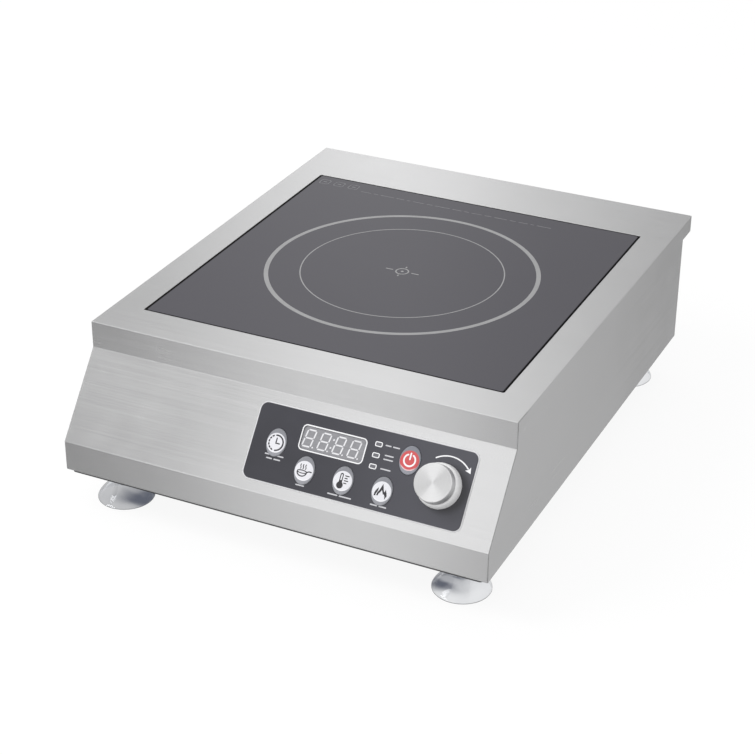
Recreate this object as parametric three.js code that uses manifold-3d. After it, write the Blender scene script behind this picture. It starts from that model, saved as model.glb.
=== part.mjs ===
// Countertop induction hob: a folded steel housing on four suction feet, a flush square glass
// plate, a sloping control panel with five push keys and a rotary knob, and the coil, power
// electronics and fan inside.
//
// Units are millimetres. +Z is up, +X is to the right of a cook facing the controls, +Y runs
// from the cook to the back. The origin is on the worktop, under the centre of the outline.

import * as THREE from 'three';
import { mergeVertices } from 'three/addons/utils/BufferGeometryUtils.js';
import Module from 'manifold-3d';

const wasm = await Module();
wasm.setup();

// ------------------------------------------------------------------ driving dimensions
const WIDTH = 330;
const SIDE_X = WIDTH / 2;     // outer face of the right side
const FRONT_Y = -208;         // lower front band
const EDGE_Y = -164;          // upper front edge of the top
const REAR_Y = 188.5;         // rear end of the sides
const LIP_Y = 208;            // rear lip
const TOP_Z = 130;            // top surface, flush with the glass
const LIP_Z = 116;            // underside of the rear lip
const BAND_Z = 109.5;         // bottom of the upper front band, top of the slope
const SLOPE_Z = 53.5;         // bottom of the slope, top of the lower band
const BASE_Z = 30;            // lower edge of the housing
const SHEET = 1.0;            // sheet thickness
const GAP = 0.2;              // usual clearance between neighbouring pieces

const BASE_TOP = BASE_Z - GAP;
const BASE_BOTTOM = BASE_TOP - SHEET;

const GLASS_Y = 10;           // centre of the glass and the coil
const GLASS_HALF = 279.5 / 2;
const OPENING_HALF = 282.5 / 2;   // square opening in the top
const LEDGE_HALF = 262 / 2;       // inner opening of the ledge under the glass
const GLASS_BOTTOM = TOP_Z - 4;

const FEET = {                // x, y
  front_left: [-134.5, -178.4],
  front_right: [134.5, -178.4],
  rear_left: [-134.5, 159.5],
  rear_right: [134.5, 159.5],
};
const CARRIER_LEGS = [        // x, y
  [0, GLASS_Y + 96],
  [-83, GLASS_Y - 48],
  [83, GLASS_Y - 48],
];
const POWER_BOARD = { x0: -150, x1: 45, y0: -125, y1: 43, bottom: 38, top: 39.6 };
const FAN = { x: 92, y: 92, size: 92, radius: 43, bottom: 30.4, top: 55.4 };
const INLET = { x: 112, z: 66 };

// Controls, in the slope's frame: x across, y up the slope from its top edge, z outward.
const PANEL = { x: 59.6, y: -35.7, width: 164.8, height: 55.8, corner: 6 };
const PANEL_TOP = GAP + 1.0;
const DISPLAY = { x: 37.4, y: -26.2, width: 47.4, height: 16.6, corner: 2.6 };
const KEY_WIDTH = 15;
const KEY_HEIGHT = 20;
const KEY_TRAVEL = 0.4;
const KEYS = {                // x, y
  timer: [-3.1, -34.6],
  cook: [22.8, -48.5],
  warm: [52.2, -48.6],
  heat: [81.5, -48.9],
  power: [94.9, -24.2],
};
const LAMP_WIDTH = 4.6;
const LAMP_HEIGHT = 2.8;
const LAMPS = { power: [70.1, -18.7], warm: [70.1, -26.4], time: [70.1, -34.2] };
const KNOB = {
  x: 120.2, y: -36,
  bottom: 1.8, skirtTop: 8.1, top: 17.2,
  skirtRadius: 15.7, capRadius: 13.85,
};
const SHAFT_RADIUS = 3;
const CONTROL_BOARD = { x0: -21, x1: 136, y0: -62, y1: -12, bottom: -12, top: -10.4 };
const CONTROL_SEAT = CONTROL_BOARD.top + GAP;   // underside of the parts on that board

// ------------------------------------------------------------------ materials
const FINISHES = {
  steel: { color: 0xb9b9b8, roughness: 0.32, metalness: 1 },
  steelDark: { color: 0x9a9b9b, roughness: 0.4, metalness: 1 },
  glass: { color: 0x3a3a3e, roughness: 0.06, metalness: 0 },
  seal: { color: 0x0d0d0e, roughness: 0.6, metalness: 0 },
  clear: { color: 0xd5dade, roughness: 0.1, metalness: 0, transparent: true, opacity: 0.5 },
  panel: { color: 0x45454b, roughness: 0.35, metalness: 0 },
  key: { color: 0x8d8e92, roughness: 0.3, metalness: 0 },
  keyRed: { color: 0xc9393a, roughness: 0.3, metalness: 0 },
  lamp: { color: 0xe8e8ea, roughness: 0.25, metalness: 0 },
  window: { color: 0x8b8b8f, roughness: 0.12, metalness: 0 },
  aluminium: { color: 0xd9d9d9, roughness: 0.25, metalness: 1 },
  board: { color: 0x1f5a34, roughness: 0.5, metalness: 0 },
  black: { color: 0x161617, roughness: 0.55, metalness: 0 },
  copper: { color: 0xb06a35, roughness: 0.35, metalness: 1 },
  mica: { color: 0xd8d2c2, roughness: 0.7, metalness: 0 },
  ferrite: { color: 0x2b2b2d, roughness: 0.75, metalness: 0 },
  blueCap: { color: 0x2b4f88, roughness: 0.4, metalness: 0 },
  yellowCap: { color: 0xc9a227, roughness: 0.45, metalness: 0 },
  spring: { color: 0xa9abad, roughness: 0.3, metalness: 1 },
};

// ------------------------------------------------------------------ solids
function solidOf(geometry) {
  geometry.deleteAttribute('normal');
  geometry.deleteAttribute('uv');
  const merged = mergeVertices(geometry, 1e-5);
  return new wasm.Manifold(new wasm.Mesh({
    numProp: 3,
    vertProperties: new Float32Array(merged.attributes.position.array),
    triVerts: new Uint32Array(merged.index.array),
  }));
}

function geometryOf(solid) {
  const mesh = solid.getMesh();
  const positions = new Float32Array(mesh.numVert * 3);
  for (let i = 0; i < mesh.numVert; i += 1) {
    for (let k = 0; k < 3; k += 1) {
      positions[i * 3 + k] = mesh.vertProperties[i * mesh.numProp + k];
    }
  }
  const geometry = new THREE.BufferGeometry();
  geometry.setAttribute('position', new THREE.BufferAttribute(positions, 3));
  geometry.setIndex(new THREE.BufferAttribute(new Uint32Array(mesh.triVerts), 1));
  geometry.computeVertexNormals();
  return geometry;
}

const union = (...solids) => solids.reduce((whole, part) => whole.add(part));
const cut = (solid, ...tools) => tools.reduce((rest, tool) => rest.subtract(tool), solid);

function block(x0, x1, y0, y1, z0, z1) {
  const geometry = new THREE.BoxGeometry(x1 - x0, y1 - y0, z1 - z0);
  geometry.translate((x0 + x1) / 2, (y0 + y1) / 2, (z0 + z1) / 2);
  return solidOf(geometry);
}

// An upright cylinder.
function post(radius, z0, z1, x = 0, y = 0, segments = 12) {
  const geometry = new THREE.CylinderGeometry(radius, radius, z1 - z0, segments);
  geometry.rotateX(Math.PI / 2);
  geometry.translate(x, y, (z0 + z1) / 2);
  return solidOf(geometry);
}

const vectors = (points) => points.map(([a, b]) => new THREE.Vector2(a, b));
const extruded = (shape, options) => (
  new THREE.ExtrudeGeometry(shape, { bevelEnabled: false, ...options })
);

// A [y, z] profile run from x0 to x1.
function alongX(points, x0, x1) {
  const geometry = extruded(new THREE.Shape(vectors(points)), { depth: x1 - x0 });
  geometry.applyMatrix4(new THREE.Matrix4().set(
    0, 0, 1, x0,
    1, 0, 0, 0,
    0, 1, 0, 0,
    0, 0, 0, 1,
  ));
  return solidOf(geometry);
}

// An [x, z] profile run from y0 to y1.
function alongY(points, y0, y1) {
  const geometry = extruded(new THREE.Shape(vectors(points)), { depth: y1 - y0 });
  geometry.rotateX(Math.PI / 2);
  geometry.translate(0, y1, 0);
  return solidOf(geometry);
}

// A shape in the XY plane run from z0 to z1.
function alongZ(shape, z0, z1, curveSegments = 4) {
  const geometry = extruded(shape, { depth: z1 - z0, curveSegments });
  geometry.translate(0, 0, z0);
  return solidOf(geometry);
}

// A [radius, z] profile, closed here and turned about Z.
function turned(points, segments, x = 0, y = 0) {
  const lathe = (profile) => {
    const geometry = new THREE.LatheGeometry(vectors(profile), segments);
    geometry.rotateX(Math.PI / 2);
    geometry.translate(x, y, 0);
    return solidOf(geometry);
  };
  const closed = [...points, points[0]];
  const solid = lathe(closed);
  // a profile drawn the other way round gives an inside-out solid
  return solid.volume() < 0 ? lathe(closed.reverse()) : solid;
}

// A section swept along a smooth curve through [x, y, z] points.
function swept(section, points, steps) {
  const stations = points.map((point) => new THREE.Vector3(...point));
  const extrudePath = new THREE.CatmullRomCurve3(stations, false, 'centripetal');
  return solidOf(extruded(section, { steps, extrudePath }));
}

function roundedRect(x, y, width, height, radius) {
  const left = x - width / 2;
  const right = x + width / 2;
  const low = y - height / 2;
  const high = y + height / 2;
  const quarter = Math.PI / 2;
  const shape = new THREE.Shape();
  shape.moveTo(left + radius, low);
  shape.lineTo(right - radius, low);
  shape.absarc(right - radius, low + radius, radius, -quarter, 0, false);
  shape.lineTo(right, high - radius);
  shape.absarc(right - radius, high - radius, radius, 0, quarter, false);
  shape.lineTo(left + radius, high);
  shape.absarc(left + radius, high - radius, radius, quarter, 2 * quarter, false);
  shape.lineTo(left, low + radius);
  shape.absarc(left + radius, low + radius, radius, 2 * quarter, 3 * quarter, false);
  return shape;
}

function oval(x, y, width, height, segments = 18) {
  const points = [];
  for (let i = 0; i < segments; i += 1) {
    const angle = (i / segments) * Math.PI * 2;
    points.push([x + (width / 2) * Math.cos(angle), y + (height / 2) * Math.sin(angle)]);
  }
  return new THREE.Shape(vectors(points));
}
const disc = (radius, segments) => oval(0, 0, 2 * radius, 2 * radius, segments);

// ------------------------------------------------------------------ groups
const hob = new THREE.Group();
const slope = new THREE.Group();
slope.position.set(0, EDGE_Y, BAND_Z);
slope.rotation.x = Math.atan2(BAND_Z - SLOPE_Z, EDGE_Y - FRONT_Y);
hob.add(slope);
slope.updateMatrixWorld(true);
const onSlope = (solid) => solid.transform([...slope.matrixWorld.elements]);

function place(name, solid, finish, parent = hob) {
  const material = new THREE.MeshStandardMaterial(FINISHES[finish]);
  const mesh = new THREE.Mesh(geometryOf(solid), material);
  mesh.name = name;
  parent.add(mesh);
  return mesh;
}

// ------------------------------------------------------------------ openings for the controls
const BUSH_HOLE_RADIUS = 4.9;

const keyShape = ([x, y], growth) => oval(x, y, KEY_WIDTH + growth, KEY_HEIGHT + growth);
const lampShape = ([x, y], growth, corner) => (
  roundedRect(x, y, LAMP_WIDTH + growth, LAMP_HEIGHT + growth, corner)
);
const displayShape = (width, height, corner) => (
  roundedRect(DISPLAY.x, DISPLAY.y, width, height, corner)
);

// Cutting tools for the keys, display, lamps and encoder bush.
function controlOpenings({ bottom, top, keyGrowth, lampGrowth, display }) {
  const shapes = [
    ...Object.values(KEYS).map((spot) => keyShape(spot, keyGrowth)),
    display,
    ...Object.values(LAMPS).map((spot) => lampShape(spot, lampGrowth, 0.6)),
  ];
  return [
    ...shapes.map((shape) => alongZ(shape, bottom, top)),
    post(BUSH_HOLE_RADIUS, bottom, top, KNOB.x, KNOB.y, 16),
  ];
}

// ------------------------------------------------------------------ housing
const LOWER_RETURN = 14;      // inward return along the lower edges
const REAR_RETURN = 13;       // reach of the rear flanges from the outer side faces
const CUT_BEYOND = 20;        // how far the hollow runs out behind the sides

// Side profile [y, z], outer face of the sheet.
const outerProfile = [
  [FRONT_Y, BASE_Z],
  [REAR_Y, BASE_Z],
  [REAR_Y, LIP_Z],
  [LIP_Y, LIP_Z],
  [LIP_Y, TOP_Z],
  [EDGE_Y, TOP_Z],
  [EDGE_Y, BAND_Z],
  [FRONT_Y, SLOPE_Z],
];

// The same, one sheet inside, and running out at the rear so the back is open below the lip.
function innerProfile() {
  const rise = BAND_Z - SLOPE_Z;
  const depth = EDGE_Y - FRONT_Y;
  const length = Math.hypot(depth, rise);
  // drop of the slope's corners that keeps the slope one sheet thick
  const drop = SHEET * (1 - depth / length) / (rise / length);
  const belowLip = LIP_Z - 0.001;
  return [
    [FRONT_Y + SHEET, BASE_Z + SHEET],
    [REAR_Y + CUT_BEYOND, BASE_Z + SHEET],
    [REAR_Y + CUT_BEYOND, belowLip],
    [REAR_Y, belowLip],
    [REAR_Y, LIP_Z + SHEET],
    [LIP_Y - SHEET, LIP_Z + SHEET],
    [LIP_Y - SHEET, TOP_Z - SHEET],
    [EDGE_Y + SHEET, TOP_Z - SHEET],
    [EDGE_Y + SHEET, BAND_Z - drop],
    [FRONT_Y + SHEET, SLOPE_Z - drop],
  ];
}

function housingShell() {
  const hollow = alongX(innerProfile(), -SIDE_X + SHEET, SIDE_X - SHEET);
  const openBottom = block(
    -SIDE_X + LOWER_RETURN, SIDE_X - LOWER_RETURN,
    FRONT_Y + LOWER_RETURN, REAR_Y + 1,
    BASE_Z - 1, BASE_Z + SHEET + 0.5,
  );
  const glassOpening = block(
    -OPENING_HALF, OPENING_HALF,
    GLASS_Y - OPENING_HALF, GLASS_Y + OPENING_HALF,
    TOP_Z - 2 * SHEET, TOP_Z + 1,
  );
  // flanges of the sides, just in front of the rear panel
  const flangeY = REAR_Y - 2 * GAP - SHEET;
  const rearFlange = (x0, x1) => (
    block(x0, x1, flangeY - SHEET, flangeY, BASE_Z + SHEET, LIP_Z - 1.5)
  );
  const shell = union(
    cut(alongX(outerProfile, -SIDE_X, SIDE_X), hollow, openBottom, glassOpening),
    rearFlange(SIDE_X - REAR_RETURN, SIDE_X - SHEET),
    rearFlange(-SIDE_X + SHEET, -SIDE_X + REAR_RETURN),
  );
  const openings = controlOpenings({
    bottom: -3,
    top: 3,
    keyGrowth: 1.2,
    lampGrowth: 0.6,
    display: displayShape(44, 14.4, 1.5),
  });
  return cut(shell, ...openings.map(onSlope));
}
place('housing_shell', housingShell(), 'steel');

// Panel between the sides: exhaust slots on the left part, inlet cut-out on the right.
function rearPanel() {
  const edgeGap = 0.4;
  const slots = { x0: -132, pitch: 12.8, count: 15, width: 5, z0: 50, z1: 98 };
  const through = [REAR_Y - 3, REAR_Y + 1];
  let panel = block(
    -SIDE_X + SHEET + edgeGap, SIDE_X - SHEET - edgeGap,
    REAR_Y - GAP - SHEET, REAR_Y - GAP,
    BASE_Z + SHEET + edgeGap, LIP_Z - 0.3,
  );
  for (let i = 0; i < slots.count; i += 1) {
    const x = slots.x0 + i * slots.pitch;
    panel = panel.subtract(block(x, x + slots.width, ...through, slots.z0, slots.z1));
  }
  return panel.subtract(
    block(INLET.x - 17, INLET.x + 17, ...through, INLET.z - 13.5, INLET.z + 13.5),
  );
}
place('rear_panel', rearPanel(), 'steel');

// Flat sheet with slots under the fan and the power board, board posts and foot holes.
function basePlate() {
  const slotWidth = 5.2;
  const slotPitch = 12;
  const bridge = 5;           // metal left between the two slots of a row
  const through = [BASE_BOTTOM - 1, BASE_TOP + 1];
  let plate = block(
    -SIDE_X + 4.6, SIDE_X - 4.6, FRONT_Y + 1, REAR_Y - 1.7, BASE_BOTTOM, BASE_TOP,
  );
  for (let row = -3; row <= 3; row += 1) {       // slots within the fan's circle
    const offset = row * slotPitch;
    const y = FAN.y + offset;
    const half = Math.sqrt(FAN.radius ** 2 - offset ** 2);
    const length = (2 * half - bridge) / 2;
    for (const x of [FAN.x - half, FAN.x - half + length + bridge]) {
      plate = plate.subtract(
        block(x, x + length, y - slotWidth / 2, y + slotWidth / 2, ...through),
      );
    }
  }
  for (let i = 0; i < 6; i += 1) {               // slots under the power board
    const y = -96 + i * slotPitch;
    plate = plate.subtract(block(-110, -60, y, y + slotWidth, ...through));
  }
  const inset = 7;            // posts from the edges of the power board
  for (const y of [POWER_BOARD.y0 + inset, POWER_BOARD.y1 - inset]) {
    for (const x of [POWER_BOARD.x0 + inset, POWER_BOARD.x1 - inset]) {
      plate = plate.add(post(3, BASE_BOTTOM + 0.3, POWER_BOARD.bottom - GAP, x, y));
    }
  }
  return cut(plate, ...Object.values(FEET).map(([x, y]) => post(2.4, ...through, x, y, 16)));
}
place('base_plate', basePlate(), 'steelDark');

// ------------------------------------------------------------------ feet
const FOOT_RADIUS = 21;
const footProfile = [         // radius, z
  [2.6, 13.4], [2.6, 28.5], [9.3, 28.5], [9.3, 25.6], [8.1, 23.0], [8.3, 18.0],
  [12.6, 11.4], [18.6, 4.6], [FOOT_RADIUS, 0.9], [FOOT_RADIUS, 0], [FOOT_RADIUS - 1.3, 0],
  [16.2, 4.2], [7.4, 12.8],
];
for (const [where, [x, y]] of Object.entries(FEET)) {
  place(`foot_${where}`, turned(footProfile, 20, x, y), 'clear');
  const screw = union(post(2.1, 12.2, 35.5, x, y, 10), post(4.4, 10.4, 13.1, x, y, 10));
  place(`foot_screw_${where}`, screw, 'spring');
}

// ------------------------------------------------------------------ glass, seal, ledge
const glassSquare = (half, z0, z1) => (
  block(-half, half, GLASS_Y - half, GLASS_Y + half, z0, z1)
);
const squareRing = (outer, inner, z0, z1) => (
  cut(glassSquare(outer, z0, z1), glassSquare(inner, z0 - 1, z1 + 1))
);
place('glass_plate', glassSquare(GLASS_HALF, GLASS_BOTTOM, TOP_Z), 'glass');
place('glass_seal', union(
  squareRing(OPENING_HALF - 0.1, GLASS_HALF + 0.1, TOP_Z - 4.5, TOP_Z - 0.35),
  squareRing(OPENING_HALF - 0.1, LEDGE_HALF + 2, TOP_Z - 5, GLASS_BOTTOM - 0.1),
), 'seal');
// ledge under the glass, upright wall, and rim under the top sheet
place('glass_support_frame', union(
  squareRing(OPENING_HALF + 2.8, LEDGE_HALF, TOP_Z - 6.3, TOP_Z - 5.15),
  squareRing(OPENING_HALF + 2.8, OPENING_HALF + 1.8, TOP_Z - 6.3, TOP_Z - 1.3),
  squareRing(OPENING_HALF + 11, OPENING_HALF + 1.8, TOP_Z - 2.3, TOP_Z - 1.3),
), 'steelDark');

// ------------------------------------------------------------------ control panel
const panelShape = roundedRect(PANEL.x, PANEL.y, PANEL.width, PANEL.height, PANEL.corner);
const overlay = cut(alongZ(panelShape, GAP, PANEL_TOP), ...controlOpenings({
  bottom: -1,
  top: 3,
  keyGrowth: 0.6,
  lampGrowth: 0,
  display: displayShape(DISPLAY.width, DISPLAY.height, DISPLAY.corner),
}));
place('control_overlay', overlay, 'panel', slope);

const LENS_TOP = PANEL_TOP + 0.05;    // display window and lamps stand this high
const windowShape = displayShape(
  DISPLAY.width - 0.5, DISPLAY.height - 0.5, DISPLAY.corner - 0.25,
);
place('display_window', alongZ(windowShape, GAP, LENS_TOP), 'window', slope);
place('display_module', block(
  DISPLAY.x - 21.2, DISPLAY.x + 21.2,
  DISPLAY.y - 6.6, DISPLAY.y + 6.6,
  CONTROL_SEAT, -1.4,
), 'black', slope);

const PLUNGER_TIP = -5.3;

// Stepped oval cap with a plunger towards its switch.
function keyCap(spot) {
  const top = PANEL_TOP + 1.1;
  return union(
    alongZ(keyShape(spot, 0), -2.2, top - 0.5),
    alongZ(keyShape(spot, -1.2), -2.2, top),
    post(2.2, PLUNGER_TIP, -2, ...spot),
  );
}

function keySwitch([x, y]) {
  return union(
    block(x - 3, x + 3, y - 3, y + 3, CONTROL_SEAT, -6.9),
    post(1.7, -7, PLUNGER_TIP - KEY_TRAVEL - GAP, x, y),
  );
}

for (const [name, spot] of Object.entries(KEYS)) {
  place(`key_${name}`, keyCap(spot), name === 'power' ? 'keyRed' : 'key', slope);
  place(`switch_${name}`, keySwitch(spot), 'black', slope);
}
for (const [name, spot] of Object.entries(LAMPS)) {
  const lamp = alongZ(lampShape(spot, -0.5, 0.4), -9.8, LENS_TOP, 2);
  place(`indicator_${name}`, lamp, 'lamp', slope);
}

// ------------------------------------------------------------------ knob and encoder
// Pieces on the knob's axis are built about it and then moved there.
const placeAtKnob = (name, solid, finish) => {
  place(name, solid, finish, slope).position.set(KNOB.x, KNOB.y, 0);
};

function knob() {
  const { bottom, top, skirtTop, skirtRadius, capRadius } = KNOB;
  const boreRadius = SHAFT_RADIUS + 0.2;
  const boreTop = top - 2.6;
  const recessRadius = 12.2;
  const recessTop = bottom + 4.6;
  return turned([
    [0, boreTop],
    [0, top],
    [capRadius - 0.7, top],
    [capRadius, top - 0.7],
    [capRadius, skirtTop + 0.9],
    [capRadius + 0.5, skirtTop],
    [skirtRadius - 0.5, skirtTop],
    [skirtRadius, skirtTop - 0.5],
    [skirtRadius, bottom + 0.3],
    [skirtRadius - 0.4, bottom],
    [recessRadius, bottom],
    [recessRadius, recessTop],
    [boreRadius, recessTop],
    [boreRadius, boreTop],
  ], 28);
}
placeAtKnob('knob', knob(), 'aluminium');

const shaftFlat = block(1.5, 5, -5, 5, 5.5, 20);
const shaft = post(SHAFT_RADIUS, -3.2, KNOB.top - 2.9, 0, 0, 20).subtract(shaftFlat);
placeAtKnob('encoder_shaft', shaft, 'spring');

placeAtKnob('encoder_body', cut(
  union(block(-6.2, 6.2, -6.2, 6.2, CONTROL_SEAT, -2), post(4.5, -2.2, 3.4, 0, 0, 24)),
  post(SHAFT_RADIUS + 0.3, -3.6, 4, 0, 0, 24),
), 'spring');

const nutBottom = PANEL_TOP + GAP;
placeAtKnob('encoder_nut', cut(
  post(6.6, nutBottom, nutBottom + 1.9, 0, 0, 6),
  post(4.7, 0, 5, 0, 0, 24),
), 'spring');

// ------------------------------------------------------------------ control board and bracket
const boardBlock = ({ x0, x1, y0, y1, bottom, top }) => block(x0, x1, y0, y1, bottom, top);
place('control_board', boardBlock(CONTROL_BOARD), 'board', slope);

const bracketProfile = [      // x, z: a tray with a flange at either end
  [-33, -1.3], [-33, -2.3], [-25.5, -2.3], [-25.5, -17.2],
  [140.5, -17.2], [140.5, -2.3], [148, -2.3], [148, -1.3],
  [139.4, -1.3], [139.4, -16.2], [-24.4, -16.2], [-24.4, -1.3],
];
function controlBracket() {
  const ribbonHole = block(9, 31, -52, -36, -20, -14);
  let bracket = alongY(bracketProfile, -60, -14).subtract(ribbonHole);
  for (const x of [CONTROL_BOARD.x0 + 3, CONTROL_BOARD.x1 - 3]) {
    for (const y of [CONTROL_BOARD.y1 - 6, CONTROL_BOARD.y0 + 6]) {
      bracket = bracket.add(post(2.4, -16.6, CONTROL_BOARD.bottom - GAP, x, y, 8));
    }
  }
  return bracket;
}
place('control_bracket', controlBracket(), 'steelDark', slope);

// ------------------------------------------------------------------ coil
// Disc with a ridged top, one ridge per turn.
function inductionCoil() {
  const outer = 96;
  const inner = 24;
  const turns = 5;
  const bottom = 112;
  const pitch = (outer - inner) / turns;
  const profile = [[inner, bottom]];
  for (let i = 0; i < turns; i += 1) {
    const radius = inner + i * pitch;
    profile.push(
      [radius + pitch * 0.12, bottom + 4.2],
      [radius + pitch * 0.88, bottom + 4.2],
      [radius + pitch, bottom + 2.6],
    );
  }
  profile.push([outer, bottom]);
  return turned(profile, 28, 0, GLASS_Y);
}
place('induction_coil', inductionCoil(), 'copper');

// Rimmed disc with six cooling windows, on three legs.
const carrierProfile = [      // radius, z
  [14, 108.6], [14, 111.7], [102, 111.7], [102, 117], [104, 117], [104, 108.6],
];
function coilCarrier() {
  let carrier = turned(carrierProfile, 28, 0, GLASS_Y);
  for (let i = 0; i < 6; i += 1) {
    const opening = block(38, 92, -9, 9, 105, 120).rotate([0, 0, (i + 0.5) * 60]);
    carrier = carrier.subtract(opening.translate([0, GLASS_Y, 0]));
  }
  return union(carrier, ...CARRIER_LEGS.map(([x, y]) => post(4, BASE_TOP + GAP, 109.5, x, y)));
}
place('coil_carrier', coilCarrier(), 'black');

for (let i = 0; i < 4; i += 1) {
  const reach = i === 1 ? 90 : 92;      // the rear bar stops short of the rear leg
  const bar = block(30, reach, -7, 7, 103, 108.3).rotate([0, 0, i * 90]);
  place(`ferrite_bar_${i + 1}`, bar.translate([0, GLASS_Y, 0]), 'ferrite');
}

const SENSOR_TOP = GLASS_BOTTOM - 0.1;
place('thermal_sensor', union(
  post(6.5, SENSOR_TOP - 2.2, SENSOR_TOP, 0, GLASS_Y, 20),
  post(3, SENSOR_TOP - 6, SENSOR_TOP - 2, 0, GLASS_Y),
), 'mica');

function sensorSpring() {
  const radius = 4.6;
  const coils = 4;
  const stations = 32;
  const bottom = 105.8;
  const height = SENSOR_TOP - 3.2 - bottom;
  const points = [];
  for (let i = 0; i <= stations; i += 1) {
    const part = i / stations;
    const angle = part * coils * Math.PI * 2;
    points.push([
      radius * Math.cos(angle),
      GLASS_Y + radius * Math.sin(angle),
      bottom + height * part,
    ]);
  }
  return swept(disc(0.5, 4), points, 36);
}
place('sensor_spring', sensorSpring(), 'spring');

// ------------------------------------------------------------------ power electronics
const POWER_SEAT = POWER_BOARD.top + GAP;     // underside of the parts on the board
const SINK = { x0: -52, x1: 38, y0: -18, y1: 34 };

const [, leftLeg] = CARRIER_LEGS;             // passes through the board
const legHole = post(5, POWER_BOARD.bottom - 1, POWER_BOARD.top + 1, ...leftLeg, 16);
place('power_board', boardBlock(POWER_BOARD).subtract(legHole), 'board');

function heatsink() {
  const { x0, x1, y0, y1 } = SINK;
  const fins = 9;
  const finWidth = 2;
  let sink = block(x0, x1, y0, y1, POWER_SEAT, POWER_BOARD.top + 6);
  for (let i = 0; i < fins; i += 1) {
    const x = x0 + i * (x1 - x0 - finWidth) / (fins - 1);
    sink = sink.add(block(x, x + finWidth, y0, y1, POWER_SEAT, 84));
  }
  // front face, against which the power devices stand
  return sink.add(block(x0, x1, y0 - 3, y0 + 0.5, POWER_SEAT, 70));
}
place('heatsink', heatsink(), 'aluminium');

// Flat body standing on thin pins; pins holds the left edge of each.
function powerDevice(x0, x1, pins) {
  const { y0 } = SINK;
  return union(
    block(x0, x1, y0 - 8.2, y0 - 3.2, 47, 67),
    ...pins.map((x) => block(x, x + 1.4, y0 - 6.2, y0 - 5.2, POWER_SEAT, 48)),
  );
}
place('power_transistor', powerDevice(-30, -14, [-27, -22.7, -18.4]), 'black');
place('bridge_rectifier', powerDevice(-2, 26, [1, 8, 15, 22]), 'black');
place('resonance_capacitor', block(-40, 12, -92, -66, POWER_SEAT, 76), 'yellowCap');
place('filter_capacitor', block(-138, -96, -20, 2, POWER_SEAT, 72), 'blueCap');

const CHOKE_TUBE = 5.5;
const choke = new THREE.TorusGeometry(12.5, CHOKE_TUBE, 8, 14);
choke.translate(-118, 22, POWER_SEAT + CHOKE_TUBE);
place('emi_choke', solidOf(choke), 'copper');

// ------------------------------------------------------------------ fan
// Square frame with a round duct; four struts carry the motor base.
function fanFrame() {
  const { x, y, size, radius, bottom, top } = FAN;
  const square = alongZ(roundedRect(x, y, size, size, 5), bottom, top, 3);
  const duct = post(radius + 1.5, bottom - 1, top + 1, x, y, 28);
  const struts = [45, 135, 225, 315].map((angle) => (
    block(14, radius + 3.2, -2, 2, bottom, bottom + 3)
      .rotate([0, 0, angle])
      .translate([x, y, 0])
  ));
  const motor = union(post(17.5, bottom, bottom + 4.5, x, y, 18), ...struts);
  const bore = post(1.9, bottom - 1, bottom + 6, x, y);
  return cut(union(cut(square, duct), motor), bore);
}
place('fan_frame', fanFrame(), 'black');

// Hub, axle and pitched blades, built about the rotor's own axis.
function fanRotor() {
  const { radius, bottom, top } = FAN;
  const blades = 7;
  let rotor = union(
    post(17, bottom + 5.1, top - 1.4, 0, 0, 20),
    post(1.5, bottom + 1, bottom + 5.6),
  );
  for (let i = 0; i < blades; i += 1) {
    const blade = block(14, radius - 0.5, -0.9, 0.9, -15, 15)
      .rotate([48, 0, 0])
      .intersect(block(10, radius, -20, 20, -8.8, 8.8))
      .translate([0, 0, bottom + 14.4])
      .rotate([0, 0, i * 360 / blades]);
    rotor = rotor.add(blade);
  }
  return rotor.intersect(post(radius, bottom, top - 0.5, 0, 0, 28));
}
place('fan_rotor', fanRotor(), 'black').position.set(FAN.x, FAN.y, 0);

// ------------------------------------------------------------------ mains inlet and leads
const INLET_Y = REAR_Y - 0.1;         // just behind the rear panel

// Flanged socket with three pins and two screw holes.
function powerInlet() {
  const box = (halfX, y0, y1, halfZ, offset = 0) => block(
    INLET.x + offset - halfX, INLET.x + offset + halfX,
    INLET_Y + y0, INLET_Y + y1,
    INLET.z - halfZ, INLET.z + halfZ,
  );
  const body = union(box(30, 0, 3, 15.5), box(16.5, -25, 1, 13));
  const pins = [-8, 0, 8].map((offset) => box(1, -20, -1.5, 4, offset));
  const screwHoles = [-25, 25].map((offset) => {
    const hole = new THREE.CylinderGeometry(2, 2, 8, 16);
    hole.translate(INLET.x + offset, INLET_Y + 1.5, INLET.z);
    return solidOf(hole);
  });
  return cut(union(cut(body, box(13.5, -19, 4, 10)), ...pins), ...screwHoles);
}
place('power_inlet', powerInlet(), 'black');

// Routes are lists of x, y, z.
place('mains_lead', swept(disc(3.4, 6), [
  [INLET.x, INLET_Y - 26, INLET.z], [INLET.x - 1, INLET_Y - 31, INLET.z + 1],
  [INLET.x - 30, INLET_Y - 40, INLET.z + 6], [30, 142, 66], [-60, 126, 50],
  [-110, 96, 46], [-132, 66, 46], [-140, 44, 46], [-140, 34, 43.6],
], 26), 'black');
place('coil_lead_a', swept(disc(1.8, 6), [
  [-98, 40, 106], [-97, 30, 95], [-88, 8, 80], [-76, -16, 64], [-67, -38, 51],
  [-62, -62, 42.4],
], 16), 'copper');
place('coil_lead_b', swept(disc(1.8, 6), [
  [-98, 56, 106], [-101, 40, 93], [-93, 12, 76], [-91, -14, 61], [-92, -36, 52],
  [-86, -58, 46], [-76, -76, 42.4],
], 18), 'copper');
place('ribbon_cable', swept(oval(0, 0, 16, 1.2, 8), [
  [20, -181.2, 67.1], [20, -176.8, 63.6], [20, -168, 57], [20, -150, 50],
  [20, -134, 45.5], [20, -116, 41.6],
], 14), 'black');

export default hob;
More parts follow.
